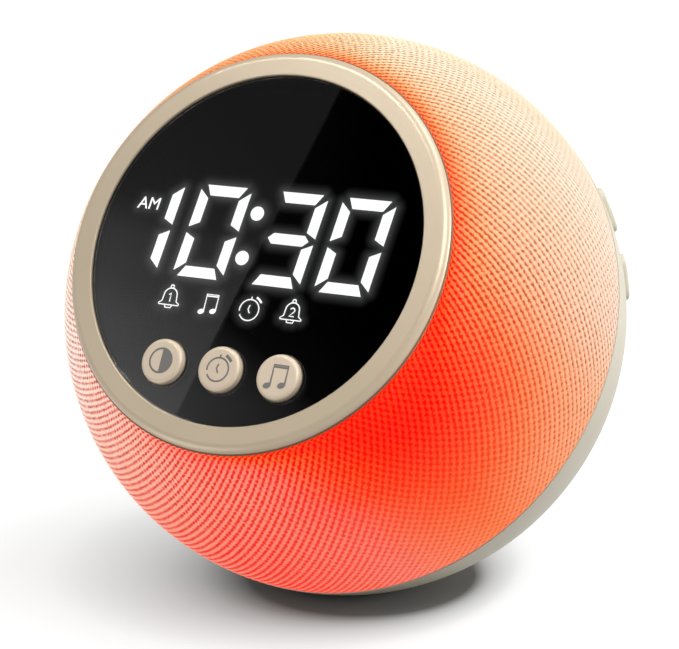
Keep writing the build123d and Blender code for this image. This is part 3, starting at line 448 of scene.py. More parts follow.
# %% Paint light on the ribs and shade in the gaps and the pinholes
gap_height = 0.1
rib_height = 0.8
hole_height = 0.24
hole_shade = (0.4, 0.34, 0.22, 1)
bead_share = tools.new("ShaderNodeMapRange")
bead_share.interpolation_type = "SMOOTHSTEP"
bead_share.inputs["From Min"].default_value = gap_height
bead_share.inputs["From Max"].default_value = rib_height
yarn = tools.new("ShaderNodeMix")
yarn.data_type = "RGBA"
pinhole = tools.new("ShaderNodeMapRange")
pinhole.interpolation_type = "SMOOTHSTEP"
pinhole.inputs["From Min"].default_value = 0.0
pinhole.inputs["From Max"].default_value = hole_height
pinhole.inputs["To Min"].default_value = 1.0
pinhole.inputs["To Max"].default_value = 0.0
# The pinholes are multiplied darker, a painted shade in each hole.
shaded_holes = tools.new("ShaderNodeMix")
shaded_holes.data_type = "RGBA"
shaded_holes.blend_type = "MULTIPLY"
shaded_holes.inputs[7].default_value = hole_shade
wires.new(uneven, bead_share.inputs["Value"])
wires.new(uneven, pinhole.inputs["Value"])
wires.new(bead_share.outputs["Result"], yarn.inputs["Factor"])
wires.new(gap_colour.outputs["Color"], yarn.inputs[6])
wires.new(top_colour.outputs["Color"], yarn.inputs[7])
wires.new(yarn.outputs[2], shaded_holes.inputs[6])
hole = reckon(tools, wires, "MULTIPLY", pinhole.outputs["Result"], gap_colour.outputs["Alpha"])
wires.new(hole, shaded_holes.inputs["Factor"])
print(f"pinholes open below {hole_height} of the yarn's height")

# %% Raise the beads and light the cloth from behind
cloth_glow = 0.95
# The base colour is a dim copy of the painted glow, with its painted light and shade.
glow_base_share = (0.12, 0.12, 0.12, 1)
dim_glow_base = tools.new("ShaderNodeMix")
dim_glow_base.data_type = "RGBA"
dim_glow_base.blend_type = "MULTIPLY"
dim_glow_base.inputs["Factor"].default_value = 1
dim_glow_base.inputs[7].default_value = glow_base_share
fuzz_relief = tools.new("ShaderNodeBump")
fuzz_relief.inputs["Strength"].default_value = 0.2
fuzz_relief.inputs["Distance"].default_value = 0.1 * mm
bead_relief = tools.new("ShaderNodeBump")
bead_relief.inputs["Strength"].default_value = 0.6
bead_relief.inputs["Distance"].default_value = 0.25 * mm
wires.new(shaded_holes.outputs[2], dim_glow_base.inputs[6])
wires.new(dim_glow_base.outputs[2], surface.inputs["Base Color"])
wires.new(shaded_holes.outputs[2], surface.inputs["Emission Color"])
wires.new(fuzz.outputs["Fac"], fuzz_relief.inputs["Height"])
wires.new(fuzz_relief.outputs["Normal"], bead_relief.inputs["Normal"])
wires.new(height, bead_relief.inputs["Height"])
wires.new(bead_relief.outputs["Normal"], surface.inputs["Normal"])
surface.inputs["Emission Strength"].default_value = cloth_glow
surface.inputs["Roughness"].default_value = 0.85
surface.inputs["Specular IOR Level"].default_value = 0.1
cover.data.materials.append(finish)
finish.cycles.emission_sampling = "NONE"
cover.visible_diffuse = False
print("finish on the cover:", finish.name)

# %% [markdown]
# ## The smoked window
# The display hides behind a window of smoked clear plastic. It lets only a small part of the light through,
# so the parts behind it vanish and only what is lit shows. It's polished, so it mirrors the studio.

# %% Finish the window
smoke = 0.3
window_ior = 1.47
window_haze = 0.006
window_finish, tools, wires = new_finish("smoked_window")
surface = tools["Principled BSDF"]
where = tools.new("ShaderNodeTexCoord")
wipes = tools.new("ShaderNodeTexNoise")
wipes.inputs["Scale"].default_value = 40
polish = tools.new("ShaderNodeMapRange")
polish.inputs["To Min"].default_value = 0.0
polish.inputs["To Max"].default_value = window_haze
wires.new(where.outputs["Object"], wipes.inputs["Vector"])
wires.new(wipes.outputs["Fac"], polish.inputs["Value"])
wires.new(polish.outputs["Result"], surface.inputs["Roughness"])
surface.inputs["Base Color"].default_value = (smoke, smoke, smoke, 1)
surface.inputs["Transmission Weight"].default_value = 1
surface.inputs["IOR"].default_value = window_ior
light_gain = 1 / smoke
print(f"the window lets {smoke:.0%} of the light through")
print(f"lit marks behind it have to shine {light_gain:.1f} times as bright")

# %% [markdown]
# ## Finishes for the CAD pieces
# Each CAD piece carries the name of the stuff that it's made of. A table of recipes gives every stuff its
# look, and one pass hands them out, inside parts too, because a part that is hidden now shows when the
# clock is opened.

# %% Mix the finishes
# Each recipe gives a name, a shade, its drift, the roughness, how metallic it is, the grain and its depth.
segment_glow = 1.1 * light_gain
finishes = {
    "champagne_plastic": plain_finish("champagne_satin", paint(206, 188, 161), 0.02, 0.34, 0.15, 1500, 0.015),
    "button_plastic": plain_finish("champagne_key", paint(226, 207, 182), 0.02, 0.4, 0.1, 1500, 0.02),
    "beige_plastic": plain_finish("beige_shell", paint(214, 207, 188), 0.02, 0.5, 0.0, 1300, 0.05),
    "smoked_lens": window_finish,
    "lit_white": plain_finish("lit_segment", (1, 1, 1, 1), 0.0, 0.5, glow=segment_glow),
    "black_plastic": plain_finish("black_moulding", paint(18, 18, 19), 0.1, 0.6),
    "white_plastic": plain_finish("white_moulding", paint(226, 224, 218), 0.03, 0.45),
    "board_green": plain_finish("green_board", paint(28, 92, 58), 0.12, 0.4, 0.0, 700, 0.05),
    "board_white": plain_finish("white_board", paint(222, 222, 214), 0.05, 0.4, 0.0, 700, 0.05),
    "led_lens": plain_finish("lamp_lens", paint(255, 226, 170), 0.05, 0.2),
    "milky_plastic": plain_finish("milky_diffuser", paint(250, 196, 160), 0.03, 0.5),
    "glowing_fabric": cover.data.materials[0],
    "foot_rubber": plain_finish("grey_rubber", paint(58, 57, 55), 0.08, 0.8, 0.0, 1100, 0.1),
    "foam_gasket": plain_finish("black_foam", paint(30, 30, 31), 0.15, 0.95, 0.0, 800, 0.3),
    "speaker_steel": plain_finish("pressed_steel", paint(176, 178, 180), 0.05, 0.35, 1.0, 500, 0.03),
    "magnet_steel": plain_finish("magnet_coat", paint(92, 94, 98), 0.06, 0.4, 0.9, 600, 0.04),
    "speaker_rubber": plain_finish("surround_rubber", paint(28, 28, 29), 0.1, 0.7),
    "cone_paper": plain_finish("cone_paper", paint(52, 50, 48), 0.15, 0.9, 0.0, 600, 0.3),
    "coil_copper": plain_finish("coil_copper", paint(196, 118, 70), 0.06, 0.35, 1.0, 900, 0.05),
    "screw_steel": plain_finish("screw_steel", paint(150, 150, 152), 0.06, 0.35, 1.0, 700, 0.04),
    "inlet_steel": plain_finish("inlet_steel", paint(198, 198, 200), 0.03, 0.28, 1.0, 500, 0.02),
    "cell_steel": plain_finish("cell_steel", paint(204, 203, 200), 0.03, 0.25, 1.0, 500, 0.02),
    "lead_plastic": plain_finish("lead_cover", paint(196, 40, 34), 0.05, 0.45),
}
print(f"{len(finishes)} finishes mixed")

# %% Hand the finishes out
handed_out = 0
for piece in nodes.values():
    for holder in piece.material_slots:
        stuff = holder.material.name.split(".")[0]
        holder.material = finishes[stuff]
        handed_out = handed_out + 1
print(f"finishes on {handed_out} places")

# %% [markdown]
# ## A dark ring round the bezel
# Where the bezel meets the cloth, the gap lies in shade and shows from the side as a dark line. A thin
# dark brown ring laid in the gap paints that shade. A ring with a round section is the right start, and
# pressing it between the bezel and the ball makes it a little deeper than it is wide.

# %% Lay the dark ring in the gap
shadow_ring_radius = 39.62 * mm
shadow_ring_half = 0.2 * mm
shadow_ring_level = 41.12 * mm
shadow_ring_press = (0.996, 0.996, 1.25)
bpy.ops.object.select_all(action="DESELECT")
bpy.ops.mesh.primitive_torus_add(
    major_segments=192, minor_segments=10, major_radius=shadow_ring_radius, minor_radius=shadow_ring_half
)
shadow_ring = bpy.context.object
shadow_ring.name = "bezel_shadow_ring"
bpy.ops.object.mode_set(mode="EDIT")
bpy.ops.mesh.select_all(action="SELECT")
bpy.ops.transform.resize(value=shadow_ring_press, center_override=(0, 0, 0))
bpy.ops.mesh.normals_make_consistent(inside=False)
bpy.ops.object.mode_set(mode="OBJECT")
bpy.ops.object.shade_smooth()
set_in_place(shadow_ring, face_place(0, 0, shadow_ring_level))
# Dark brown, to paint the shade in the gap between the bezel and the cloth.
shadow_ring.data.materials.append(plain_finish("brown_shadow_ring", paint(138, 96, 70), 0.1, 0.8, 0.0, 900, 0.1))
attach(shadow_ring, "case")
print(f"seal: {len(shadow_ring.data.polygons)} faces, {shadow_ring_radius / mm:.1f} mm from the middle")

# %% [markdown]
# ## The film with the soft light round the digits
# A lit segment never ends sharply: some of its light leaks into the clear sheet in front and makes a soft
# halo. We lay a thin film on the display's front and give every point of it a glow that falls off with its
# distance from the nearest lit segment.

# %% Lay the film
film_radius = 33.0 * mm
film_foot = -18.3 * mm
film_lift = 0.03 * mm
film_columns = 360
film_rows = 66
bpy.ops.object.select_all(action="DESELECT")
bpy.ops.mesh.primitive_grid_add(x_subdivisions=film_columns, y_subdivisions=film_rows, size=1)
film = bpy.context.object
film.name = "display_film"
for vertex in film.data.vertices:
    film_turn = 2 * math.pi * (vertex.co.x + 0.5)
    film_reach = film_radius * (vertex.co.y + 0.5)
    vertex.co = (film_reach * math.sin(film_turn), film_reach * math.cos(film_turn), 0)
bpy.ops.object.mode_set(mode="EDIT")
bpy.ops.mesh.select_all(action="SELECT")
bpy.ops.mesh.remove_doubles(threshold=join_distance)
bpy.ops.mesh.select_all(action="SELECT")
bpy.ops.mesh.bisect(plane_co=(0, film_foot, 0), plane_no=(0, 1, 0), clear_inner=True)
bpy.ops.mesh.select_all(action="SELECT")
bpy.ops.mesh.normals_make_consistent(inside=False)
bpy.ops.object.mode_set(mode="OBJECT")
if film.data.polygons[0].normal.z < 0:
    film.data.flip_normals()
set_in_place(film, face_place(0, 0, film_level + film_lift))
print(f"film: {len(film.data.polygons)} faces")

# %% [markdown]
# ## Signs that are drawn with a line
# The small signs are lines of even width. We draw each as strokes on flat ground, give the strokes a round
# section, turn them into a mesh and press that nearly flat, as ink or a lamp mask is. Letters and numbers
# come from the type tool in the same way.


# %% Tools for drawing lines
def arc(middle_x, middle_y, radius, start, end, points=14):
    turns = [math.radians(start + (end - start) * step / (points - 1)) for step in range(points)]
    return [(middle_x + radius * math.cos(turn), middle_y + radius * math.sin(turn)) for turn in turns]


def draw_lines(name, strokes, size, width, height):
    """Strokes are lists of points, 1 being half the sign's size; one that ends where it starts is closed."""
    line = bpy.data.curves.new(name, "CURVE")
    line.dimensions = "3D"
    line.bevel_depth = width / 2
    line.bevel_resolution = 1
    line.use_fill_caps = True
    for stroke in strokes:
        closed = stroke[0] == stroke[-1]
        points = stroke[:-1] if closed else stroke
        spline = line.splines.new("POLY")
        spline.points.add(len(points) - 1)
        spline.use_cyclic_u = closed
        for point, (x, y) in zip(spline.points, points):
            point.co = (x * size / 2, y * size / 2, 0, 1)
    sign = bpy.data.objects.new(name, line)
    bpy.context.scene.collection.objects.link(sign)
    pick_only(sign)
    bpy.ops.object.convert(target="MESH")
    sign = bpy.context.object
    bpy.ops.transform.resize(value=(1, 1, height / width))
    bpy.ops.object.transform_apply(location=True, rotation=True, scale=True)
    return sign


# %% Tools for discs, letters and joined signs
disc_corners = 32


def draw_disc(name, x, y, wide, tall, tilt, size, height, half=False):
    bpy.ops.object.select_all(action="DESELECT")
    bpy.ops.mesh.primitive_circle_add(vertices=disc_corners, radius=size / 2, fill_type="NGON")
    sign = bpy.context.object
    sign.name = name
    bpy.ops.object.mode_set(mode="EDIT")
    bpy.ops.mesh.select_all(action="SELECT")
    if half:
        bpy.ops.mesh.bisect(plane_co=(0, 0, 0), plane_no=(1, 0, 0), clear_inner=True, use_fill=False)
        bpy.ops.mesh.select_all(action="SELECT")
    bpy.ops.mesh.extrude_region_move(TRANSFORM_OT_translate={"value": (0, 0, height / 2)})
    bpy.ops.object.mode_set(mode="OBJECT")
    place = Matrix.Translation((x * size / 2, y * size / 2, 0)) @ Matrix.Rotation(math.radians(tilt), 4, "Z")
    set_in_place(sign, place @ Matrix.Diagonal((wide, tall, 1, 1)))
    return sign


def write_text(name, words, height_of_type, thickness):
    bpy.ops.object.select_all(action="DESELECT")
    bpy.ops.object.text_add(location=(0, 0, 0))
    sign = bpy.context.object
    sign.name = name
    sign.data.body = words
    sign.data.size = height_of_type
    sign.data.align_x = "CENTER"
    sign.data.align_y = "CENTER"
    sign.data.extrude = thickness / 2
    bpy.ops.object.convert(target="MESH")
    return bpy.context.object


def join_signs(name, signs):
    pick_only(signs[0])
    for sign in signs[1:]:
        sign.select_set(True)
    bpy.ops.object.join()
    sign = bpy.context.object
    sign.name = name
    sign.data.name = name
    return sign


# %% Sketch the strokes of the signs
bell_foot = [(0.68, -0.38), (0.98, -0.6), (0.92, -0.7), (-0.92, -0.7), (-0.98, -0.6), (-0.68, -0.38)]
bell_body = arc(0, 0.12, 0.62, 175, 5) + bell_foot
bell_body = bell_body + [bell_body[0]]
bell_knob = arc(0, 0.86, 0.15, -30, 210)
bell_tongue = [(-0.34, -0.72), (-0.26, -0.94), (0.26, -0.94), (0.34, -0.72)]
bell_numbers = {
    "1": [(-0.14, 0.16), (0.04, 0.3), (0.04, -0.42)],
    "2": arc(0.02, 0.1, 0.2, 160, -30, 9) + [(-0.2, -0.4), (0.24, -0.4)],
}
note_stems = [(-0.36, -0.66), (-0.36, 0.8), (0.74, 0.8), (0.74, -0.54)]
note_beam = [(-0.36, 0.66), (0.74, 0.66)]
watch_ring = arc(0, -0.08, 0.82, 190, -150, 40)
watch_crown = [(0, 0.76), (0, 0.96)]
watch_ticks = arc(0, -0.08, 1.1, 68, 36, 6)
watch_hands = [(0, 0.3), (-0.1, 0.0), (0.02, -0.24), (0.1, -0.3)]
tick_width = 1.7
print(f"bell outline of {len(bell_body)} points, watch ring of {len(watch_ring)}")


# %% Tools that draw one sign each
def draw_note(name, size, width, height):
    frame_lines = draw_lines(name + "_lines", [note_stems, note_beam], size, width, height)
    left_head = draw_disc(name + "_left", -0.58, -0.7, 0.3, 0.21, 18, size, height)
    right_head = draw_disc(name + "_right", 0.5, -0.58, 0.3, 0.21, 18, size, height)
    return join_signs(name, [frame_lines, left_head, right_head])


def draw_watch(name, size, width, height):
    strokes = [watch_ring, watch_crown, watch_hands]
    thin = draw_lines(name + "_lines", strokes, size, width, height)
    thick = draw_lines(name + "_ticks", [watch_ticks], size, tick_width * width, height)
    return join_signs(name, [thin, thick])


def draw_bell(name, number, size, width, height):
    strokes = [bell_body, bell_knob, bell_tongue, bell_numbers[number]]
    return draw_lines(name, strokes, size, width, height)


# %% Put the lit signs on the display
sign_size = 4.6 * mm
sign_line = 0.24 * mm
sign_thickness = 0.06 * mm
sign_lift = 0.09 * mm
sign_gauge = (sign_size, sign_line, sign_thickness)
watch_gauge = (sign_size * 1.08, sign_line, sign_thickness)
sign_slant = Matrix(((1, 0.098, 0, 0), (0, 1, 0, 0), (0, 0, 1, 0), (0, 0, 0, 1)))
sign_row = -0.335 * lens_radius
bell_row = sign_row + 0.5 * mm
morning_row = 0.197 * lens_radius
type_height = 0.1 * lens_radius
lit_signs = [
    (draw_bell("alarm_sign_one", "1", *sign_gauge), -0.448 * lens_radius, bell_row),
    (draw_note("music_sign", *sign_gauge), -0.195 * lens_radius, sign_row),
    (draw_watch("timer_sign", *watch_gauge), 0.058 * lens_radius, sign_row),
    (draw_bell("alarm_sign_two", "2", *sign_gauge), 0.318 * lens_radius, bell_row),
    (write_text("morning_sign", "AM", type_height, sign_thickness), -0.735 * lens_radius, morning_row),
]
for sign, right, up in lit_signs:
    slant = sign_slant if sign.name == "morning_sign" else Matrix.Identity(4)
    set_in_place(sign, face_place(right, up, film_level + sign_lift) @ slant)
    sign.data.materials.clear()
    sign.data.materials.append(finishes["lit_white"])
    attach(sign, "case")
print("lit signs:", ", ".join(sign.name for sign, right, up in lit_signs))

# %% Work out the halo on the film
digit_halo = 1.0
sign_halo = 0.6
halo_reach = 0.85 * mm
film_thickness = 0.02 * mm
lit_pieces = [(nodes["display_digits"], digit_halo)] + [(sign, sign_halo) for sign, right, up in lit_signs]
film_points = [vertex.co.copy() for vertex in film.data.vertices]
halo = np.zeros(len(film_points))
for piece, strength in lit_pieces:
    corners = [vertex.co for vertex in piece.data.vertices]
    faces = [list(face.vertices) for face in piece.data.polygons]
    tree = BVHTree.FromPolygons(corners, faces)
    away = np.array([tree.find_nearest(point)[3] for point in film_points])
    halo = np.maximum(halo, strength * np.exp(-away / halo_reach))
glow_map = film.data.attributes.new("halo", "FLOAT", "POINT")
glow_map.data.foreach_set("value", halo)
apply_modifier(film, "SOLIDIFY", thickness=film_thickness, offset=-1)
print(f"film: {len(film.data.polygons)} faces, halo reaches about {3 * halo_reach / mm:.1f} mm")

# %% Finish the film
faintest_halo = 0.07
halo_shade = (0.077, 0.079, 0.081, 1)
finish, tools, wires = new_finish("halo_film")
surface = tools["Principled BSDF"]
halo_value = tools.new("ShaderNodeAttribute")
halo_value.attribute_name = "halo"
halo_light = tools.new("ShaderNodeValToRGB")
halo_light.color_ramp.elements[0].position = faintest_halo
halo_light.color_ramp.elements[0].color = (0, 0, 0, 1)
halo_light.color_ramp.elements[1].position = 1.0
halo_light.color_ramp.elements[1].color = halo_shade
wires.new(halo_value.outputs["Fac"], halo_light.inputs["Fac"])
wires.new(halo_light.outputs["Color"], surface.inputs["Emission Color"])
surface.inputs["Base Color"].default_value = (0.001, 0.001, 0.001, 1)
surface.inputs["Roughness"].default_value = 0.5
surface.inputs["Specular IOR Level"].default_value = 0
surface.inputs["Emission Strength"].default_value = light_gain
film.data.materials.append(finish)
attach(film, "case")
print("finish on the film:", finish.name)

# %% [markdown]
# ## The black mask of the window
# The back of such a window is printed black all over, but for the opening in front of the display. The mask
# hides the ledge, the screws and the board. Like a print's stencil it's a flat drawing with holes in it: a
# filled outline leaves open whatever is drawn inside it. The print is as smooth as the window that it lies
# on, so it mirrors the studio just as the open part does and its edge can't be seen.


# %% A tool for cutting flat sheets
def cut_flat(name, outlines, thickness):
    """A flat sheet: the first outline is its rim, and the others are holes in it."""
    drawing = bpy.data.curves.new(name, "CURVE")
    drawing.dimensions = "2D"
    drawing.fill_mode = "BOTH"
    drawing.extrude = thickness / 2
    for outline in outlines:
        spline = drawing.splines.new("POLY")
        spline.points.add(len(outline) - 1)
        spline.use_cyclic_u = True
        for point, (x, y) in zip(spline.points, outline):
            point.co = (x, y, 0, 1)
    flat = bpy.data.objects.new(name, drawing)
    bpy.context.scene.collection.objects.link(flat)
    pick_only(flat)
    bpy.ops.object.convert(target="MESH")
    return bpy.context.object


# %% Cut the mask
mask_thickness = 0.03 * mm
mask_radius = lens_radius - 0.1 * mm
mask_level = lens_back + 1.5 * mask_thickness
opening_foot = -17.8 * mm
opening_radius = 32.4 * mm
opening_corner = math.degrees(math.asin(opening_foot / opening_radius))
opening = arc(0, 0, opening_radius, opening_corner, 180 - opening_corner, 90)
key_hole = 4.7 * mm
key_pitch = 12.4 * mm
key_row = -24.0 * mm
mask_outlines = [arc(0, 0, mask_radius, 0, 360, 129)[:-1], opening]
for step in (-1, 0, 1):
    mask_outlines.append(arc(step * key_pitch, key_row, key_hole, 0, 360, 65)[:-1])
mask = cut_flat("window_mask", mask_outlines, mask_thickness)
set_in_place(mask, face_place(0, 0, mask_level))
print_finish = plain_finish("black_print", (0.001, 0.001, 0.001, 1), 0.2, window_haze, depth=0.0)
print_finish.node_tree.nodes["Principled BSDF"].inputs["IOR"].default_value = window_ior
mask.data.materials.append(print_finish)
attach(mask, "case")
print(f"mask: {len(mask.data.polygons)} faces")

# %% [markdown]
# ## The printed keys
# Each key has its sign printed on top in a warm grey. Pad printing puts down a very thin, even layer, so the
# sign stands only a few hundredths of a millimetre above the key and moves with it.

# %% Print the signs on the keys
key_sign_size = 4.9 * mm
half_size = key_sign_size * 0.95
watch_size = key_sign_size * 1.12
note_size = key_sign_size * 1.1
key_line = 0.38 * mm
watch_line = key_line * 0.9
ink = 0.04 * mm
key_sign_out = key_top + ink / 4
ink_finish = plain_finish("grey_ink", paint(120, 116, 112), 0.04, 0.6)
half_circle = arc(0, 0, 1, 0, 360, 41)[:-1] + [(1.0, 0.0)]
half_ring = draw_lines("half_ring", [half_circle], half_size, key_line, ink)
half_fill = draw_disc("half_fill", 0, 0, 1, 1, 0, half_size, ink, half=True)
key_signs = [
    (join_signs("brightness_mark", [half_ring, half_fill]), -key_pitch, "brightness_key"),
    (draw_watch("timer_mark", watch_size, watch_line, ink), 0, "timer_key"),
    (draw_note("music_mark", note_size, key_line, ink), key_pitch, "music_key"),
]
for sign, right, body in key_signs:
    set_in_place(sign, face_place(right, key_row, key_sign_out))
    sign.data.materials.clear()
    sign.data.materials.append(ink_finish)
    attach(sign, body)
print("printed marks:", ", ".join(sign.name for sign, right, body in key_signs))

# %% [markdown]
# ## The table
# The clock stands on a white sweep, as in a product studio. A sweep is so bright that only the shadow under
# the clock shows. The floor's own finish paints that shadow in: it gives back more light the further a spot
# is from the foot, sooner on the right, below the nearest lamp, and later on the left, where the shadow
# falls.

# %% Lay the floor
floor_size = 6.0
bpy.ops.object.select_all(action="DESELECT")
bpy.ops.mesh.primitive_plane_add(size=floor_size, location=(0, 0, 0))
floor = bpy.context.object
floor.name = "floor"
print(f"floor of {floor_size:.0f} m")

# %% Work out how far a spot lies past the foot
foot_rim = 0.0235
rim_swing = 0.004
shadow_reach = 0.054
shadow_swing = -0.0375
finish, tools, wires = new_finish("white_sweep")
tools.remove(tools["Principled BSDF"])
where = tools.new("ShaderNodeTexCoord")
axes = tools.new("ShaderNodeSeparateXYZ")
from_foot = tools.new("ShaderNodeVectorMath")
from_foot.operation = "LENGTH"
wires.new(where.outputs["Object"], axes.inputs["Vector"])
wires.new(where.outputs["Object"], from_foot.inputs[0])
to_right = reckon(tools, wires, "DIVIDE", axes.outputs["X"], from_foot.outputs["Value"])
rim = reckon(tools, wires, "ADD", reckon(tools, wires, "MULTIPLY", to_right, rim_swing), foot_rim)
fade_length = reckon(tools, wires, "MULTIPLY", to_right, shadow_swing)
fade_length = reckon(tools, wires, "ADD", fade_length, shadow_reach)
past_rim = reckon(tools, wires, "SUBTRACT", from_foot.outputs["Value"], rim)
span = reckon(tools, wires, "DIVIDE", past_rim, fade_length)
print(f"the shadow fades over about {shadow_reach / mm:.0f} mm")

# %% Finish the floor
floor_shade = (0.31, 0.31, 0.31, 1)
# Painted shadow: the floor's own glow, seen by the camera and in reflections, is weaker near the foot.
lift_steps = [(0.0, 0.0), (0.07, 0.15), (0.13, 0.3), (0.22, 0.45)]
lift_steps = lift_steps + [(0.3, 0.54), (0.4, 0.64), (0.5, 0.75), (1.0, 0.88)]
surface = tools.new("ShaderNodeBsdfDiffuse")
surface.inputs["Color"].default_value = floor_shade
lift_level = tools.new("ShaderNodeValToRGB")
ramp = lift_level.color_ramp
for number, (position, grey) in enumerate(lift_steps):
    stop = ramp.elements[number] if number < 2 else ramp.elements.new(position)
    stop.position = position
    stop.color = (grey, grey, grey, 1)
seen = tools.new("ShaderNodeLightPath")
sweep_light = tools.new("ShaderNodeEmission")
both = tools.new("ShaderNodeAddShader")
wires.new(span, lift_level.inputs["Fac"])
wires.new(lift_level.outputs["Color"], sweep_light.inputs["Color"])
looked_at = reckon(tools, wires, "MAXIMUM", seen.outputs["Is Camera Ray"], seen.outputs["Is Glossy Ray"])
wires.new(looked_at, sweep_light.inputs["Strength"])
wires.new(surface.outputs["BSDF"], both.inputs[0])
wires.new(sweep_light.outputs["Emission"], both.inputs[1])
wires.new(both.outputs["Shader"], tools["Material Output"].inputs["Surface"])
floor.data.materials.append(finish)
print("finish on the floor:", finish.name)

# %% [markdown]
# ## The light
# White surroundings fill in from all sides. A soft lamp hangs close on the right, so the light fades across
# the face. Others hang further off, on the left, in the roof and behind, where one brightens the edge of the
# shell. A small low light in front does the work of a white card on the table: it lifts the bezel's lower
# edge.

# %% Light the surroundings
fill_level = 0.5
backdrop_level = 1.0
world = bpy.data.worlds.new("studio")
bpy.context.scene.world = world
world.use_nodes = True
tools = world.node_tree.nodes
wires = world.node_tree.links
sky = tools["Background"]
seen = tools.new("ShaderNodeLightPath")
level = tools.new("ShaderNodeMapRange")
level.inputs["To Min"].default_value = fill_level
level.inputs["To Max"].default_value = backdrop_level
wires.new(seen.outputs["Is Camera Ray"], level.inputs["Value"])
wires.new(level.outputs["Result"], sky.inputs["Strength"])
sky.inputs["Color"].default_value = (1, 1, 1, 1)
print(f"surroundings fill in at {fill_level} of full white")


# %% Hang the lamps
def hang_lamp(name, where, towards, size, power):
    lamp_data = bpy.data.lights.new(name, "AREA")
    lamp_data.shape = "DISK"
    lamp_data.size = size
    lamp_data.energy = power
    lamp = bpy.data.objects.new(name, lamp_data)
    bpy.context.scene.collection.objects.link(lamp)
    lamp.location = where
    lamp.rotation_euler = (Vector(where) - Vector(towards)).to_track_quat("Z", "Y").to_euler()
    lamp.visible_camera = False
    return lamp


# Each lamp has its place and the spot that it looks at, in metres, and then its size and its power in watts.
lamps = [
    hang_lamp("top_lamp", (0.13, -0.085, 0.185), (0.02, -0.04, 0.08), 0.1, 0.18),
    hang_lamp("left_lamp", (-0.45, -0.1, 0.2), ball_centre, 0.3, 0.2),
    hang_lamp("roof_lamp", (0.35, 0.30, 1.0), ball_centre, 0.6, 4.0),
    hang_lamp("rear_lamp", (0.5, 0.4, 0.08), ball_centre, 0.3, 1.6),
    hang_lamp("front_card", (-0.035, -0.088, 0.006), (-0.014, -0.054, 0.045), 0.06, 0.014),
]
print("lamps:", ", ".join(lamp.name for lamp in lamps))

# %% [markdown]
# ## The camera
# A long lens from a little to the right and a little above keeps the ball round, as the picture shows it.

# %% Place the camera
azimuth = math.radians(28.0)
elevation = math.radians(13.64)
focal_length = 108.6
sensor_width = 36
camera_far = 11.07
camera_aside = 0.472
camera_below = 0.417
camera_back = Vector(
    (math.sin(azimuth) * math.cos(elevation), -math.cos(azimuth) * math.cos(elevation), math.sin(elevation))
)
camera_right = Vector((math.cos(azimuth), math.sin(azimuth), 0))
camera_up = camera_back.cross(camera_right)
lens_middle = ball_centre + face_out * lens_front
from_lens = camera_far * camera_back + camera_aside * camera_right - camera_below * camera_up
camera_data = bpy.data.cameras.new("camera")
camera_data.lens = focal_length
camera_data.sensor_width = sensor_width
camera_data.clip_start = 0.02
camera = bpy.data.objects.new("camera", camera_data)
bpy.context.scene.collection.objects.link(camera)
camera.location = lens_middle + lens_radius * from_lens
camera.rotation_euler = Matrix((camera_right, camera_up, camera_back)).transposed().to_euler()
bpy.context.scene.camera = camera
print(f"camera at {[round(part, 3) for part in camera.location]}")

# %% [markdown]
# ## The cards that the window mirrors
# A polished black window shows whatever stands in front of it. A light card on the left and a dark one on the
# right meet in a straight edge, and that edge is the slanted line across the window. A third, bright card
# above gives the rounded edges their shine. To find where a card has to stand, we follow the camera's view
# of a spot on the window and on from there, as a mirror throws it.

# %% Find what a spot of the window mirrors
mirror_eye = camera.location - 2 * (camera.location - lens_middle).dot(face_out) * face_out
card_far = 1.4
line_foot = 0.048
line_slope = 0.2655


def seen_in_window(right, up):
    """The place on the card that the camera sees mirrored at this spot of the window, in window radii."""
    spot = lens_middle + lens_radius * (right * face_right + up * face_up)
    return spot + (spot - mirror_eye) * card_far


def line_at(up):
    """How far right the slanted line across the window lies at this height."""
    return line_foot + line_slope * up


print(f"cards stand about {(seen_in_window(0, 0) - lens_middle).length:.2f} m from the window")


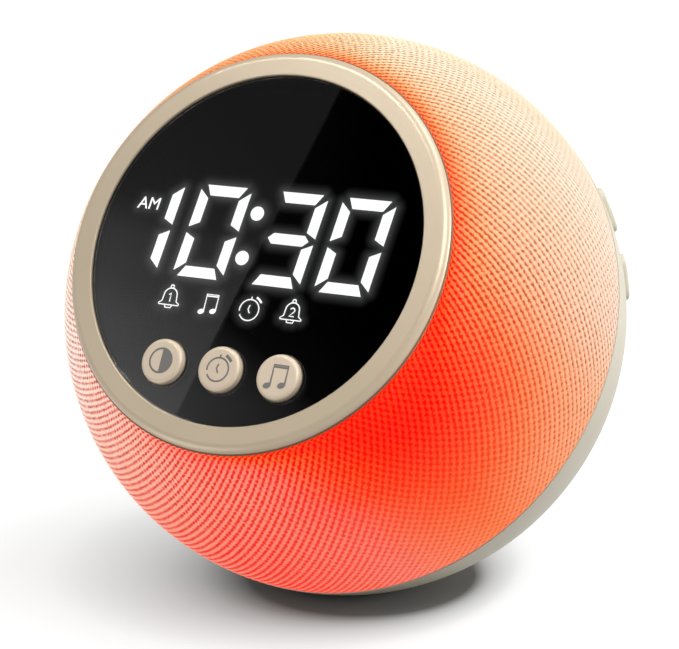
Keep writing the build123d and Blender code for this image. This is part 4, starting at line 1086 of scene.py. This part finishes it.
# %% A tool for standing cards
def stand_card(name, rows):
    """Each row goes from left to right and gives places in the window with the tone that they mirror."""
    spots = [spot for row in rows for spot in row]
    wide = len(rows[0])
    first_corners = [start + step for start in range(0, len(spots) - wide, wide) for step in range(wide - 1)]
    faces = [(first, first + 1, first + wide + 1, first + wide) for first in first_corners]
    mesh = bpy.data.meshes.new(name)
    mesh.from_pydata([seen_in_window(right, up) for right, up, tone in spots], [], faces)
    shade = mesh.attributes.new("shade", "FLOAT", "POINT")
    shade.data.foreach_set("value", [tone for right, up, tone in spots])
    card = bpy.data.objects.new(name, mesh)
    bpy.context.scene.collection.objects.link(card)
    finish, tools, wires = new_finish(name)
    tone = tools.new("ShaderNodeAttribute")
    tone.attribute_name = "shade"
    lit = tools.new("ShaderNodeEmission")
    wires.new(tone.outputs["Fac"], lit.inputs["Strength"])
    wires.new(lit.outputs["Emission"], tools["Material Output"].inputs["Surface"])
    tools.remove(tools["Principled BSDF"])
    mesh.materials.append(finish)
    card.visible_camera = False
    card.visible_diffuse = False
    card.visible_shadow = False
    return card


# %% Stand the cards
light_tones = [(1.5, 0.18, 0.18), (0.45, 0.3, 0.18), (0.0, 1.0, 0.3), (-0.45, 1.7, 0.62)]
light_tones = light_tones + [(-0.85, 2.6, 1.05), (-1.6, 4.0, 1.8)]
light_rows = [[(-1.8, up, far), (line_at(up), up, near)] for up, far, near in light_tones]
dark_tones = [(1.5, 0.0, 0.0), (-0.4, 0.05, 0.0), (-0.88, 0.58, 0.03), (-1.6, 1.4, 0.1)]
dark_rows = [[(line_at(up), up, near), (0.75, up, far), (1.9, up, 0.0)] for up, near, far in dark_tones]
top_rows = [[(-0.6, 1.5, 12.0), (1.6, 1.5, 12.0)], [(-0.6, 4.0, 20.0), (2.0, 4.0, 20.0)]]
cards = [
    stand_card("light_card", light_rows),
    stand_card("dark_card", dark_rows),
    stand_card("top_card", top_rows),
]
print("cards:", ", ".join(card.name for card in cards))

# %% [markdown]
# ## Last look
# The picture uses plain, unaltered tones.

# %% Finish
bpy.context.scene.view_settings.view_transform = "Standard"
